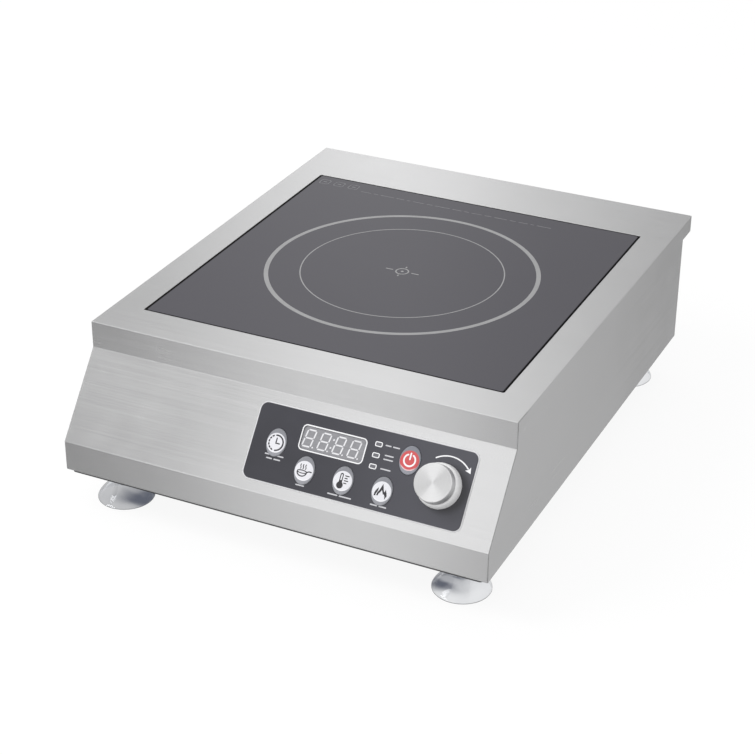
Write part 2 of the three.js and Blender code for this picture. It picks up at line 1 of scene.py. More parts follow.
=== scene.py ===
"""Single-plate induction hob on four clear feet.

It stands on z = 0 with +Z up. The control slope faces the front (-Y), the vents and the
mains inlet face the rear (+Y), and +X is to the right as seen from the front. Geometry is
given in millimetres and build() turns it into metres; materials and lights use metres.
"""
import bpy
import bmesh
import math
from functools import reduce
from mathutils import Matrix, Vector

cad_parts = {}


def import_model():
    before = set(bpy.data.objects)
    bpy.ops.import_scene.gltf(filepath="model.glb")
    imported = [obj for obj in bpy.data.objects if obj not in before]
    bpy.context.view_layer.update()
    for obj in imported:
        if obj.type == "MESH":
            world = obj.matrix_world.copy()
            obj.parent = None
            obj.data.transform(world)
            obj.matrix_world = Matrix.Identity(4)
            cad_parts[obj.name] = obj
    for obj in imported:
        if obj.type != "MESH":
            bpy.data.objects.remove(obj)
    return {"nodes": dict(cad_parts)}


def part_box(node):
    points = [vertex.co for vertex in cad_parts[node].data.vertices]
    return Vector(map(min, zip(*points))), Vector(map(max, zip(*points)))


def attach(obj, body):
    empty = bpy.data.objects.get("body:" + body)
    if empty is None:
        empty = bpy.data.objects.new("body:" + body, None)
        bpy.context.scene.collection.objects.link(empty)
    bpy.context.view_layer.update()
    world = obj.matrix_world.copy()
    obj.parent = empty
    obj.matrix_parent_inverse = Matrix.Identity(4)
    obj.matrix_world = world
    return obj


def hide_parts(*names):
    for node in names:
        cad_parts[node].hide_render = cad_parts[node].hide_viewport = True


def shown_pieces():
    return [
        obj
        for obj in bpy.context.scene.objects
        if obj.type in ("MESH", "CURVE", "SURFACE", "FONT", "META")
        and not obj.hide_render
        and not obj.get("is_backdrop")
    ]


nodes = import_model()["nodes"]
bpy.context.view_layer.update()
scene = bpy.context.scene
MM = 0.001

# ------------------------------------------------------------------ shared dimensions (mm)
shell_lo, shell_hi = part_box("housing_shell")
HALF_W = (shell_hi.x - shell_lo.x) / 2 / MM
FRONT_Y, LIP_Y = shell_lo.y / MM, shell_hi.y / MM
TOP_Z, BASE_Z = shell_hi.z / MM, shell_lo.z / MM
EDGE_Y, REAR_Y = -164.0, 188.5                # front edge of the top, rear wall
BAND_Z, SLOPE_Z, LIP_Z = 109.5, 53.5, 116.0   # top and foot of the slope, underside of rear lip
SHEET = 1.0
PLATE_Y = 10.0                                # centre of the glass and the coil
OPENING, GLASS = 282.5 / 2, 279.5 / 2         # half widths
GLASS_SHIFT, GLASS_TRIM = 0.15, 0.60          # the glass is narrower in X and sits to the right
GLASS_TOP = TOP_Z - 0.04
FAN_X, FAN_Y = 92.0, 92.0
INLET_X, INLET_Z = 112.0, 66.0
FEET = {"front_left": (-134.5, -178.4), "front_right": (134.5, -178.4),
        "rear_left": (-134.5, 159.5), "rear_right": (134.5, 159.5)}

# Frame of the slope: x as in the world, y up the slope from its top edge, z out of the sheet
SLOPE_RUN = math.hypot(EDGE_Y - FRONT_Y, BAND_Z - SLOPE_Z)
SLOPE_COS, SLOPE_SIN = (EDGE_Y - FRONT_Y) / SLOPE_RUN, (BAND_Z - SLOPE_Z) / SLOPE_RUN
SLOPE = Matrix(((1, 0, 0, 0), (0, SLOPE_COS, -SLOPE_SIN, EDGE_Y * MM),
                (0, SLOPE_SIN, SLOPE_COS, BAND_Z * MM), (0, 0, 0, 1)))

# Places on the slope are x, y in its frame
PANEL_X, PANEL_Y, PANEL_W, PANEL_H, PANEL_R = 59.6, -35.7, 162.8, 53.8, 5.0
PANEL_RIM_W = 1.0
PANEL_T = 1.2
KEYS = {"timer": (-3.1, -34.6), "cook": (22.8, -48.5), "warm": (52.2, -48.6),
        "heat": (81.5, -48.9), "power": (94.9, -24.2)}
KEY_W, KEY_H = 15.0, 20.0
KEY_TOP = PANEL_T + 1.1
DISC_DOWN = 0.35                              # printed disc sits below the middle of its key
DISPLAY_X, DISPLAY_Y, DISPLAY_W, DISPLAY_H, DISPLAY_R = 37.4, -26.2, 47.4, 16.6, 2.6
LAMPS = {"power": (70.1, -18.7), "warm": (70.1, -26.4), "time": (70.1, -34.2)}
LAMP_W, LAMP_H = 4.6, 2.8
KNOB_X, KNOB_Y = 120.2, -36.0
SHAFT_HOLE = 9.8


# ------------------------------------------------------------------ outlines
def arc(cx, cy, r, start, end, steps, ry=None):
    """Points of an arc, angles in degrees; ry makes it elliptical."""
    ry = r if ry is None else ry
    angles = [math.radians(start + (end - start) * i / steps) for i in range(steps + 1)]
    return [(cx + r * math.cos(a), cy + ry * math.sin(a)) for a in angles]


def rect(x0, x1, y0, y1):
    return [(x0, y0), (x1, y0), (x1, y1), (x0, y1)]


def rrect(cx, cy, w, h, r, steps=6):
    """Rectangle with round corners."""
    corners = ((1, -1, -90), (1, 1, 0), (-1, 1, 90), (-1, -1, 180))
    return [p for sx, sy, start in corners
            for p in arc(cx + sx * (w / 2 - r), cy + sy * (h / 2 - r), r, start, start + 90, steps)]


def oval(cx, cy, w, h, count):
    return [(cx + w / 2 * math.cos(2 * math.pi * i / count),
             cy + h / 2 * math.sin(2 * math.pi * i / count)) for i in range(count)]


def disc(cx, cy, diameter, count):
    return oval(cx, cy, diameter, diameter, count)


def cross(arm, half):
    """Recess of a cross-head screw."""
    return [(-arm, -half), (-half, -half), (-half, -arm), (half, -arm), (half, -half),
            (arm, -half), (arm, half), (half, half), (half, arm), (-half, arm),
            (-half, half), (-arm, half)]


def left_of(direction):
    return Vector((-direction.y, direction.x))


def mitre(point, dir0, dir1, inset):
    """Corner of a line moved to its left by inset."""
    n0, n1 = left_of(dir0), left_of(dir1)
    return point + (n0 + n1) / (1 + n0.dot(n1)) * inset


def stroke(points, width, cap_steps=5):
    """Outline of a line of the given width with round ends."""
    line = [Vector(p) for p in points]
    last = len(line) - 1
    left, right = [], []
    for i, point in enumerate(line):
        dir0 = (point - line[i - 1]).normalized() if i else None
        dir1 = (line[i + 1] - point).normalized() if i < last else None
        dir0, dir1 = dir0 or dir1, dir1 or dir0
        side = Vector((-(dir0.y + dir1.y), dir0.x + dir1.x)).normalized()
        reach = (width / 2) / max(0.5, side.dot(left_of(dir0)))
        left.append(point + side * reach)
        right.append(point - side * reach)

    def cap(end, before):
        d = (end - before).normalized()
        start = math.atan2(d.y, d.x) + math.pi / 2
        angles = [start - math.pi * k / cap_steps for k in range(1, cap_steps)]
        return [end + Vector((math.cos(a), math.sin(a))) * width / 2 for a in angles]

    out = left + cap(line[-1], line[-2]) + right[::-1] + cap(line[0], line[1])
    return [(p.x, p.y) for p in out]


def at_z(outline, z):
    return [(x, y, z) for x, y in outline]


# ------------------------------------------------------------------ solids
# A part is (vertices, faces, material slot or list of slots) and is a closed solid.
def loft(loops, slots=None, closed=False):
    """Skin through equal loops; slots are for the first cap, each band and the last cap."""
    n, count = len(loops[0]), len(loops)
    verts = [p for loop in loops for p in loop]
    faces = [] if closed else [list(range(n))[::-1]]
    for k in range(count if closed else count - 1):
        low, high = k * n, (k + 1) % count * n
        for i in range(n):
            j = (i + 1) % n
            faces.append([low + i, low + j, high + j, high + i])
    if not closed:
        faces.append([(count - 1) * n + i for i in range(n)])
    if slots is None:
        return verts, faces, 0
    bands = [slot for slot in slots[1:-1] for _ in range(n)]
    return verts, faces, [slots[0]] + bands + [slots[-1]]


def prism(outline, z0, z1, slot=0):
    verts, faces, _ = loft([at_z(outline, z0), at_z(outline, z1)])
    return verts, faces, slot


def box(x0, x1, y0, y1, z0, z1):
    return prism(rect(x0, x1, y0, y1), z0, z1)


def ring_prism(outer, inner, z0, z1, slot=0):
    n = len(outer)
    verts = at_z(outer, z0) + at_z(outer, z1) + at_z(inner, z0) + at_z(inner, z1)
    faces = []
    for i in range(n):
        j = (i + 1) % n
        faces += [[i, j, n + j, n + i], [2 * n + j, 2 * n + i, 3 * n + i, 3 * n + j],
                  [n + i, n + j, 3 * n + j, 3 * n + i], [j, i, 2 * n + i, 2 * n + j]]
    return verts, faces, slot


def lathe(profile, seg, closed=False):
    """Turned solid; profile is (radius, z) from pole to pole, or a closed loop off the axis."""
    verts, faces, rows = [], [], []
    for r, z in profile:
        count = 1 if r < 1e-6 else seg
        rows.append([len(verts) + i for i in range(count)])
        verts += [(0, 0, z)] if count == 1 else at_z(disc(0, 0, 2 * r, seg), z)
    pairs = list(zip(rows, rows[1:])) + ([(rows[-1], rows[0])] if closed else [])
    for a, b in pairs:
        for i in range(seg):
            j = (i + 1) % seg
            if len(a) == 1:
                faces.append([a[0], b[i], b[j]])
            elif len(b) == 1:
                faces.append([a[i], a[j], b[0]])
            else:
                faces.append([a[i], a[j], b[j], b[i]])
    return verts, faces, 0


def moved(part, place):
    verts, faces, slots = part
    return [place @ Vector(p) for p in verts], faces, slots


def dashes(x, y, lengths, gap, bar, z0, z1, slot=0):
    """Row of round-ended bars from x onwards; bar is (height, corner radius, corner steps)."""
    parts = []
    for length in lengths:
        parts.append(prism(rrect(x + length / 2, y, length, *bar), z0, z1, slot))
        x += length + gap
    return parts


# ------------------------------------------------------------------ objects
def build(name, parts, mats=(), place=None):
    me = bpy.data.meshes.new(name)
    bm = bmesh.new()
    for verts, faces, slots in parts:
        made = [bm.verts.new(Vector(p) * MM) for p in verts]
        slots = [slots] * len(faces) if isinstance(slots, int) else slots
        for face, slot in zip(faces, slots):
            bm.faces.new([made[i] for i in face]).material_index = slot
    bmesh.ops.recalc_face_normals(bm, faces=bm.faces)
    bm.to_mesh(me)
    bm.free()
    ob = bpy.data.objects.new(name, me)
    scene.collection.objects.link(ob)
    if place is not None:
        ob.matrix_world = place
    for mat in mats:
        me.materials.append(mat)
    return ob


def boolean(ob, parts, op, place=None):
    """Applies a boolean; the parts lie in the object's frame unless place is given."""
    tool = build("tool", parts, place=ob.matrix_world.copy() if place is None else place)
    mod = ob.modifiers.new("b", "BOOLEAN")
    mod.operation, mod.solver, mod.object = op, "EXACT", tool
    bpy.context.view_layer.update()
    graph = bpy.context.evaluated_depsgraph_get()
    me = bpy.data.meshes.new_from_object(ob.evaluated_get(graph))
    old = ob.data
    ob.modifiers.clear()
    ob.data = me
    me.name = ob.name
    bpy.data.meshes.remove(old)
    bpy.data.objects.remove(tool)


def cut(ob, *parts, place=None):
    boolean(ob, parts, "DIFFERENCE", place)


def join(ob, *parts):
    boolean(ob, parts, "UNION")


def tidy(ob, dist=1e-6):
    """Merges the doubled points a boolean leaves."""
    bm = bmesh.new()
    bm.from_mesh(ob.data)
    bmesh.ops.remove_doubles(bm, verts=bm.verts, dist=dist)
    bmesh.ops.dissolve_degenerate(bm, edges=bm.edges, dist=dist)
    bm.to_mesh(ob.data)
    bm.free()


def bevel_edges(ob, width, seg, angle, outer="MITER_SHARP"):
    mod = ob.modifiers.new("edge", "BEVEL")
    mod.width, mod.segments, mod.limit_method = width * MM, seg, "ANGLE"
    mod.angle_limit = math.radians(angle)
    mod.use_clamp_overlap = True
    mod.miter_outer = outer


def weight_normals(ob):
    mod = ob.modifiers.new("normals", "WEIGHTED_NORMAL")
    mod.keep_sharp, mod.weight = True, 80


def smooth(ob):
    ob.data.polygons.foreach_set("use_smooth", [True] * len(ob.data.polygons))


def shade(ob, sharp=40, bevel=0.0, seg=2, angle=40):
    """Smooth shading; hard edges are bevelled, or marked sharp when there is no bevel."""
    smooth(ob)
    if bevel:
        bevel_edges(ob, bevel, seg, angle, outer="MITER_ARC")
    else:
        ob.data.set_sharp_from_angle(angle=math.radians(sharp))
    weight_normals(ob)


def finish(ob, slot, *replaced, body="hob_body", **edges):
    shade(ob, **edges)
    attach(ob, body)
    if replaced:
        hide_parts(*replaced)


# ------------------------------------------------------------------ shader nodes
class Nodes:
    """Short ways to add nodes to a tree; values may be numbers, tuples or sockets."""

    def __init__(self, tree):
        self.tree = tree
        tree.nodes.clear()
        self.coords = None

    def node(self, kind, **settings):
        made = self.tree.nodes.new("ShaderNode" + kind)
        for key, value in settings.items():
            setattr(made, key, value)
        return made

    def put(self, sock, value):
        if isinstance(value, bpy.types.NodeSocket):
            self.tree.links.new(value, sock)
        elif isinstance(value, tuple) and sock.type == "RGBA" and len(value) == 3:
            sock.default_value = (*value, 1)
        else:
            sock.default_value = value

    def fill(self, made, *values):
        for sock, value in zip(made.inputs, values):
            self.put(sock, value)
        return made

    def tex(self, which="Object"):
        if self.coords is None:
            self.coords = self.node("TexCoord")
        return self.coords.outputs[which]

    def math(self, op, a, b=0.0):
        return self.fill(self.node("Math", operation=op), a, b).outputs[0]

    def add(self, *values):
        return reduce(lambda a, b: self.math("ADD", a, b), values)

    def mul(self, *values):
        return reduce(lambda a, b: self.math("MULTIPLY", a, b), values)

    def radius(self, x, y):
        return self.math("SQRT", self.add(self.mul(x, x), self.mul(y, y)))

    def vec(self, op, a, b=None, scale=None):
        made = self.node("VectorMath", operation=op)
        self.put(made.inputs[0], a)
        if b is not None:
            self.put(made.inputs[1], b)
        if scale is not None:
            self.put(made.inputs["Scale"], scale)
        return made.outputs["Value" if op in ("DOT_PRODUCT", "LENGTH") else "Vector"]

    def xyz(self, v):
        return self.fill(self.node("SeparateXYZ"), v).outputs

    def combine(self, x, y, z):
        return self.fill(self.node("CombineXYZ"), x, y, z).outputs[0]

    def grey(self, v):
        return self.combine(v, v, v)

    def scaled(self, factors):
        return self.vec("MULTIPLY", self.tex(), factors)

    def noise(self, scale=1.0, detail=2.0, rough=0.5, at=None, stretch=None):
        """Noise over object space, or at other coordinates, or scaled by axis."""
        if stretch is not None:
            at = self.scaled(stretch)
        made = self.node("TexNoise")
        self.put(made.inputs["Vector"], self.tex() if at is None else at)
        made.inputs["Scale"].default_value = scale
        made.inputs["Detail"].default_value = detail
        made.inputs["Roughness"].default_value = rough
        return made.outputs["Fac"]

    def remap(self, value, span=(0.3, 0.7), to=(0.0, 1.0), smooth=False):
        """Clamped map; the default span is the range that noise mostly covers."""
        kind = "SMOOTHSTEP" if smooth else "LINEAR"
        made = self.node("MapRange", interpolation_type=kind, clamp=True)
        return self.fill(made, value, *span, *to).outputs[0]

    def mix_colour(self, factor, a, b):
        made = self.node("Mix", data_type="RGBA")
        for index, value in ((0, factor), (6, a), (7, b)):
            self.put(made.inputs[index], value)
        return made.outputs[2]

    def mix_vector(self, factor, a, b):
        made = self.node("Mix", data_type="VECTOR")
        for index, value in ((0, factor), (4, a), (5, b)):
            self.put(made.inputs[index], value)
        return made.outputs[1]

    def bump(self, height, strength, dist):
        made = self.node("Bump")
        made.inputs["Strength"].default_value = strength
        made.inputs["Distance"].default_value = dist
        self.put(made.inputs["Height"], height)
        return made.outputs[0]

    def by_azimuth(self, x, y, stops):
        """Value looked up by compass angle, 0 at +Y and 90 at +X; stops are (degrees, value)."""
        top = 1.25                            # keeps the ramp colours below one
        turn = self.remap(self.math("ARCTAN2", x, y), span=(-math.pi, math.pi))
        made = self.node("ValToRGB")
        elements = made.color_ramp.elements
        elements.remove(elements[1])
        for i, (degrees, value) in enumerate(stops):
            position = (degrees + 180) / 360
            stop = elements.new(position) if i else elements[0]
            stop.position = position
            stop.color = (value / top, value / top, value / top, 1)
        self.put(made.inputs[0], turn)
        return self.mul(made.outputs[0], top)


class Mat(Nodes):
    """A material whose output is fed by one shader node."""

    def __init__(self, name, shader="BsdfPrincipled"):
        self.material = bpy.data.materials.new(name)
        self.material.use_nodes = True
        super().__init__(self.material.node_tree)
        self.out = self.node("OutputMaterial")
        self.shader = self.node(shader)
        self.put(self.out.inputs[0], self.shader.outputs[0])

    def set(self, **values):
        for key, value in values.items():
            self.put(self.shader.inputs[key.replace("_", " ")], value)
        return self.material


def rgb(*channels):
    """Linear colour from sRGB channels of 0 to 255."""
    unit = [c / 255.0 for c in channels]
    return tuple(c / 12.92 if c <= 0.04045 else ((c + 0.055) / 1.055) ** 2.4 for c in unit)


# ------------------------------------------------------------------ materials (metres)
def steel(name, base, rough, aniso, painted_side_shade=1.0, fine=1.0, edge=1.0):
    """Brushed sheet: lines run along X, but along Y on the sides.

    painted_side_shade darkens the sides as painted shade, fine scales the lines, edge darkens the
    upright faces as painted shade.
    """
    m = Mat(name)
    normal = m.node("NewGeometry").outputs["Normal"]
    nx, ny, nz = m.xyz(m.vec("ABSOLUTE", normal))
    side = m.remap(nx, span=(0.6, 0.8))

    def brushed(along, across, detail, rough):
        at = m.mix_vector(side, m.scaled((along, across, across)),
                          m.scaled((across, along, across)))
        return m.noise(at=at, detail=detail, rough=rough)

    line = brushed(along=5.0, across=1500.0, detail=3.0, rough=0.6)
    broad = brushed(along=2.5, across=260.0, detail=2.0, rough=0.5)
    cloud = m.noise(scale=9.0, detail=3.0, rough=0.55)
    offset = m.vec("ADD", m.tex(), (3.1, 1.7, 0.4))
    smudge = m.noise(at=offset, scale=34.0, detail=4.0, rough=0.6)
    tone = m.add(m.remap(line, to=(-0.014 * fine, 0.014 * fine)),
                 m.remap(broad, to=(-0.009, 0.009)),
                 m.remap(cloud, span=(0.35, 0.65), to=(-0.012, 0.012)), 1.0)
    # painted shade: the sides are darkened by a fixed factor
    tone = m.mul(tone, m.remap(side, span=(0.0, 1.0), to=(1.0, painted_side_shade)))
    # painted shade: upright faces are darkened by edge
    if edge != 1.0:
        tone = m.mul(tone, m.remap(nz, span=(0.3, 0.6), to=(edge, 1.0)))
    colour = m.node("RGB").outputs[0]
    colour.default_value = (*base, 1)
    roughness = m.add(m.remap(line, to=(rough - 0.014, rough + 0.014)),
                      m.remap(smudge, span=(0.45, 0.75), to=(0.0, 0.02)),
                      m.remap(cloud, span=(0.35, 0.65), to=(-0.012, 0.012)))
    # the lines spread the reflection across themselves
    tangent = m.mix_vector(side, m.combine(0.0, 1.0, 0.0), m.combine(0.0, 0.0, 1.0))
    upright = m.remap(ny, span=(0.55, 0.75))
    tangent = m.mix_vector(upright, tangent, m.combine(0.0, 0.0, 1.0))
    return m.set(Base_Color=m.vec("SCALE", colour, scale=tone), Metallic=1.0,
                 Roughness=roughness, Anisotropic=aniso, Tangent=tangent,
                 Normal=m.bump(line, strength=0.02 * fine, dist=0.00004))


def plastic(name, colour, rough=0.4, grain=0.05, grain_scale=2600.0, var=0.06, spec=0.5,
            coat=0.0):
    m = Mat(name)
    fine = m.noise(scale=grain_scale, detail=3.0, rough=0.6)
    big = m.noise(scale=60.0, detail=3.0)
    base = m.mix_colour(m.remap(big), tuple(c * (1 - var) for c in colour),
                        tuple(min(1, c * (1 + var)) for c in colour))
    roughness = m.add(m.remap(fine, to=(rough - 0.04, rough + 0.04)),
                      m.remap(big, to=(-0.03, 0.03)))
    return m.set(Base_Color=base, Roughness=roughness, Specular_IOR_Level=spec,
                 Normal=m.bump(fine, strength=grain, dist=0.00008),
                 Coat_Weight=coat, Coat_Roughness=0.08)


def metal(name, colour, rough, scale=1500.0, var=0.06):
    m = Mat(name)
    fine = m.noise(scale=scale, detail=3.0, rough=0.6)
    big = m.noise(scale=80.0, detail=4.0, rough=0.6)
    tone = m.add(m.remap(fine, to=(-var, var)), m.remap(big, to=(1.0 - var, 1.0 + var)))
    return m.set(Base_Color=m.vec("SCALE", m.combine(*colour), scale=tone), Metallic=1.0,
                 Roughness=m.remap(big, to=(rough - 0.06, rough + 0.08)),
                 Normal=m.bump(fine, strength=0.06, dist=0.00005))


def board_green():
    m = Mat("board_green")
    cells = m.node("TexVoronoi", feature="DISTANCE_TO_EDGE")
    m.put(cells.inputs["Vector"], m.scaled((420.0, 420.0, 420.0)))
    cells.inputs["Scale"].default_value = 0.35
    trace = m.remap(cells.outputs[0], span=(0.05, 0.09), to=(1.0, 0.0))
    big = m.noise(scale=40.0, detail=3.0)
    base = m.mix_colour(m.remap(big), rgb(22, 82, 46), rgb(30, 98, 56))
    return m.set(Base_Color=m.mix_colour(trace, base, rgb(52, 128, 76)), Roughness=0.35,
                 Normal=m.bump(trace, strength=0.15, dist=0.00004),
                 Coat_Weight=0.4, Coat_Roughness=0.15)


def ceramic_glass():
    m = Mat("ceramic_glass")
    speck = m.noise(scale=5200.0, detail=1.0)
    smear = m.noise(stretch=(14.0, 22.0, 14.0), detail=4.0, rough=0.6)
    big = m.noise(scale=6.0)
    # painted sheen: the grey base colour stands in for the bright reflection on the black glass,
    # whose specular level is set low; speckles and patches vary it
    base = m.mix_colour(m.remap(speck, span=(0.62, 0.72), to=(0.0, 0.30)),
                        rgb(81, 80, 85), rgb(99, 98, 104))
    base = m.mix_colour(m.remap(big, to=(0.0, 0.10)), base, rgb(90, 89, 94))
    return m.set(Base_Color=base, IOR=1.52, Specular_IOR_Level=0.07,
                 Roughness=m.remap(smear, span=(0.35, 0.75), to=(0.12, 0.20)),
                 Normal=m.bump(speck, strength=0.012, dist=0.00004))


def panel_dark():
    """Dark overlay with a painted sheen, paler toward the right, and a painted knob shadow around
    the knob.
    """
    m = Mat("panel_dark")
    fine = m.noise(scale=3200.0, detail=3.0, rough=0.6)
    big = m.noise(stretch=(16, 30, 16), detail=3.0, rough=0.55)
    base = m.mix_colour(m.remap(big), rgb(53, 53, 59), rgb(58, 58, 65))
    x, y, _ = m.xyz(m.tex())
    # painted sheen: paler toward the right
    base = m.mix_colour(m.remap(x, span=(0.01, 0.13), to=(0.0, 0.8), smooth=True),
                        base, rgb(80, 80, 87))
    shade_dx, shade_dy = 5.0, -0.8            # centre of the painted knob shadow, from the knob, mm
    from_painted_shadow = m.radius(m.math("SUBTRACT", x, (KNOB_X + shade_dx) * MM),
                    m.math("ADD", y, -(KNOB_Y + shade_dy) * MM))
    # painted shadow of the knob on the panel
    base = m.mix_colour(m.remap(from_painted_shadow, span=(0.0126, 0.0192), to=(0.62, 0.0), smooth=True),
                        base, rgb(24, 24, 27))
    return m.set(Base_Color=base, Roughness=m.remap(big, to=(0.27, 0.38)),
                 Normal=m.bump(fine, strength=0.05, dist=0.00005))


def key_material(name, disc_colour, body=(146, 147, 151)):
    """Satin key: a printed disc over a translucent grey body; painted shade makes its upper end
    darker and a painted highlight lies along the lower edge of the disc.
    """
    m = Mat(name)
    x, y, _ = m.xyz(m.tex())
    r = m.radius(x, m.math("ADD", y, DISC_DOWN * MM))
    mask = m.remap(r, span=(0.00680, 0.00695), to=(1.0, 0.0), smooth=True)
    # painted shade: the grey body darkens toward its upper end
    low = m.remap(y, span=(-0.0100, 0.0100), to=(1.0, 0.0))
    red, green, blue = body
    grey = m.mix_colour(low, rgb(red - 18, green - 18, blue - 16),
                        rgb(red + 4, green + 4, blue + 6))
    # painted highlight: a whitish crescent along the lower edge of the disc
    edge = m.mul(m.remap(r, span=(0.0058, 0.0067), smooth=True),
                 m.remap(y, span=(-0.0060, -0.0035), to=(1.0, 0.0), smooth=True))
    painted_highlight = 0.6
    ink = m.mix_colour(m.mul(edge, painted_highlight), disc_colour, rgb(246, 246, 248))
    fine = m.noise(scale=2500.0)
    return m.set(Base_Color=m.mix_colour(mask, grey, ink),
                 Roughness=m.remap(fine, to=(0.26, 0.36)),
                 Normal=m.bump(fine, strength=0.04, dist=0.00004),
                 Subsurface_Weight=0.12, Subsurface_Radius=(0.0006, 0.0006, 0.0006),
                 Coat_Weight=0.15, Coat_Roughness=0.15)


def spun_aluminium():
    """Fine rings about the knob's axis; the flange at its foot is painted paler and less metallic
    as a painted sheen.
    """
    m = Mat("spun_aluminium")
    axis = tuple(SLOPE.to_3x3() @ Vector((0, 0, 1)))
    centre = tuple(SLOPE @ Vector((KNOB_X * MM, KNOB_Y * MM, 0)))
    geo = m.node("NewGeometry")
    rel = m.vec("SUBTRACT", geo.outputs["Position"], centre)
    along = m.vec("DOT_PRODUCT", rel, axis)
    radial = m.vec("SUBTRACT", rel, m.vec("SCALE", m.combine(*axis), scale=along))
    around = m.vec("CROSS_PRODUCT", axis, radial)
    tangent = m.vec("NORMALIZE", m.vec("CROSS_PRODUCT", geo.outputs["Normal"], around))
    at = m.combine(m.vec("LENGTH", radial), along, 0.0)
    ring = m.noise(at=at, scale=4200.0, rough=0.6)
    broad = m.noise(at=at, scale=900.0)
    tone = m.add(m.remap(ring, to=(-0.022, 0.022)), m.remap(broad, to=(0.985, 1.015)))
    # painted sheen: the flange is paler, nearly non-metallic and rougher, so it reads bright all
    # round
    flange = m.remap(along, span=(0.0092, 0.0095), to=(1.0, 0.0))
    colour = m.mix_colour(flange, m.vec("SCALE", m.combine(0.83, 0.83, 0.835), scale=tone),
                          m.vec("SCALE", m.combine(0.90, 0.90, 0.905), scale=tone))
    flange_rough = 0.12
    return m.set(Base_Color=colour, Metallic=m.remap(flange, span=(0.0, 1.0), to=(1.0, 0.05)),
                 Roughness=m.add(m.remap(ring, to=(0.31, 0.37)), m.mul(flange, flange_rough)),
                 Anisotropic=m.remap(flange, span=(0.0, 1.0), to=(0.9, 0.3)),
                 Tangent=tangent, Normal=m.bump(ring, strength=0.03, dist=0.00003))


def clear_pvc():
    """Clear plastic that lets shadow rays through."""
    m = Mat("clear_pvc")
    big = m.noise(scale=90.0, detail=3.0, rough=0.6)
    m.set(Base_Color=m.mix_colour(m.remap(big), (0.84, 0.85, 0.87), (0.89, 0.90, 0.915)),
          Roughness=m.remap(big, to=(0.0, 0.02)), Transmission_Weight=1.0, IOR=1.50,
          Normal=m.bump(big, strength=0.012, dist=0.0002))
    shadow = m.node("LightPath").outputs["Is Shadow Ray"]
    through = m.fill(m.node("BsdfTransparent"), (0.93, 0.95, 0.97))
    mix = m.fill(m.node("MixShader"), shadow, m.shader.outputs[0], through.outputs[0])
    m.put(m.out.inputs[0], mix.outputs[0])
    return m.material


def window_smoke():
    m = Mat("window_smoke")
    fine = m.noise(scale=2500.0)
    streak = m.noise(stretch=(260.0, 900.0, 300.0))
    return m.set(Base_Color=m.mix_colour(m.remap(streak), rgb(132, 132, 136),
                                         rgb(142, 142, 146)),
                 Roughness=0.18, Normal=m.bump(fine, strength=0.02, dist=0.00003),
                 Coat_Weight=0.3, Coat_Roughness=0.05)


# the sides of the outer sheet get a slight painted shade
STEEL = steel("brushed_steel", base=(0.72, 0.72, 0.725), rough=0.24, aniso=0.92, painted_side_shade=0.94)
# the base plate's upright faces get a strong painted shade, so its front edge reads as a dark line
STEEL_BASE = steel("galvanised_base", base=(0.56, 0.57, 0.58), rough=0.42, aniso=0.3,
                   fine=0.7, edge=0.22)
STEEL_IN = steel("inner_steel", base=(0.6, 0.61, 0.62), rough=0.4, aniso=0.3, fine=0.7)
ZINC = metal("zinc_plate", (0.62, 0.63, 0.64), rough=0.28)
BLACK = plastic("black_plastic", rgb(28, 28, 30), rough=0.48, grain=0.12)
BLACK_SOFT = plastic("black_silicone", rgb(7, 7, 8), rough=0.75, grain=0.1,
                     grain_scale=1800.0, spec=0.12)
PANEL_RIM = plastic("panel_rim", rgb(216, 216, 218), rough=0.38, grain=0.04)
WHITE_INK = plastic("white_ink", rgb(238, 238, 240), rough=0.45, grain=0.03)
DARK_INK = plastic("dark_ink", rgb(50, 49, 53), rough=0.5, grain=0.03)
CAPTION_INK = plastic("caption_ink", rgb(196, 196, 200), rough=0.45, grain=0.03)
COPPER = metal("copper_wire", (0.72, 0.38, 0.22), rough=0.34, scale=900.0, var=0.06)
ALU = metal("heatsink_aluminium", (0.68, 0.69, 0.70), rough=0.38, scale=1300.0, var=0.06)
for rough_metal in (COPPER, ALU):             # these two have a coarser grain
    for made_node in rough_metal.node_tree.nodes:
        if made_node.bl_idname == "ShaderNodeBump":
            made_node.inputs["Strength"].default_value = 0.1
CERAMIC = plastic("sensor_ceramic", rgb(222, 216, 202), rough=0.6, grain=0.08)
FERRITE = plastic("ferrite", rgb(46, 46, 50), rough=0.7, grain=0.25, grain_scale=1500.0,
                  var=0.15)
YELLOW = plastic("capacitor_yellow", rgb(214, 178, 58), rough=0.35, grain=0.04, coat=0.3)
BLUE = plastic("capacitor_blue", rgb(42, 84, 150), rough=0.35, grain=0.04, coat=0.3)
CABLE_GREY = plastic("cable_grey", rgb(150, 151, 154), rough=0.5)
CABLE_BLACK = plastic("cable_black", rgb(26, 26, 28), rough=0.5, grain=0.08)
LEAD_RED = plastic("lead_red", rgb(170, 42, 38), rough=0.45, grain=0.08)
BOARD = board_green()
GLASS_MAT = ceramic_glass()
PANEL_MAT = panel_dark()
KEY_WHITE = key_material("key_satin_white", rgb(222, 222, 227))
KEY_RED = key_material("key_satin_red", rgb(202, 84, 86), body=(142, 144, 150))
SPUN = spun_aluminium()
PVC = clear_pvc()
WINDOW = window_smoke()
PRINT = plastic("glass_print_grey", rgb(147, 147, 148), grain_scale=4000.0, spec=0.2)
PRINT_FAINT = plastic("glass_print_faint", rgb(128, 128, 131), grain_scale=4000.0, spec=0.2)
DIGIT = plastic("digit_light", rgb(220, 220, 223), rough=0.3, grain=0.02)
LENS = plastic("lamp_lens", rgb(100, 100, 106), rough=0.2, grain=0.02, coat=0.3)
BRASS = metal("pin_brass", (0.74, 0.66, 0.46), rough=0.3)

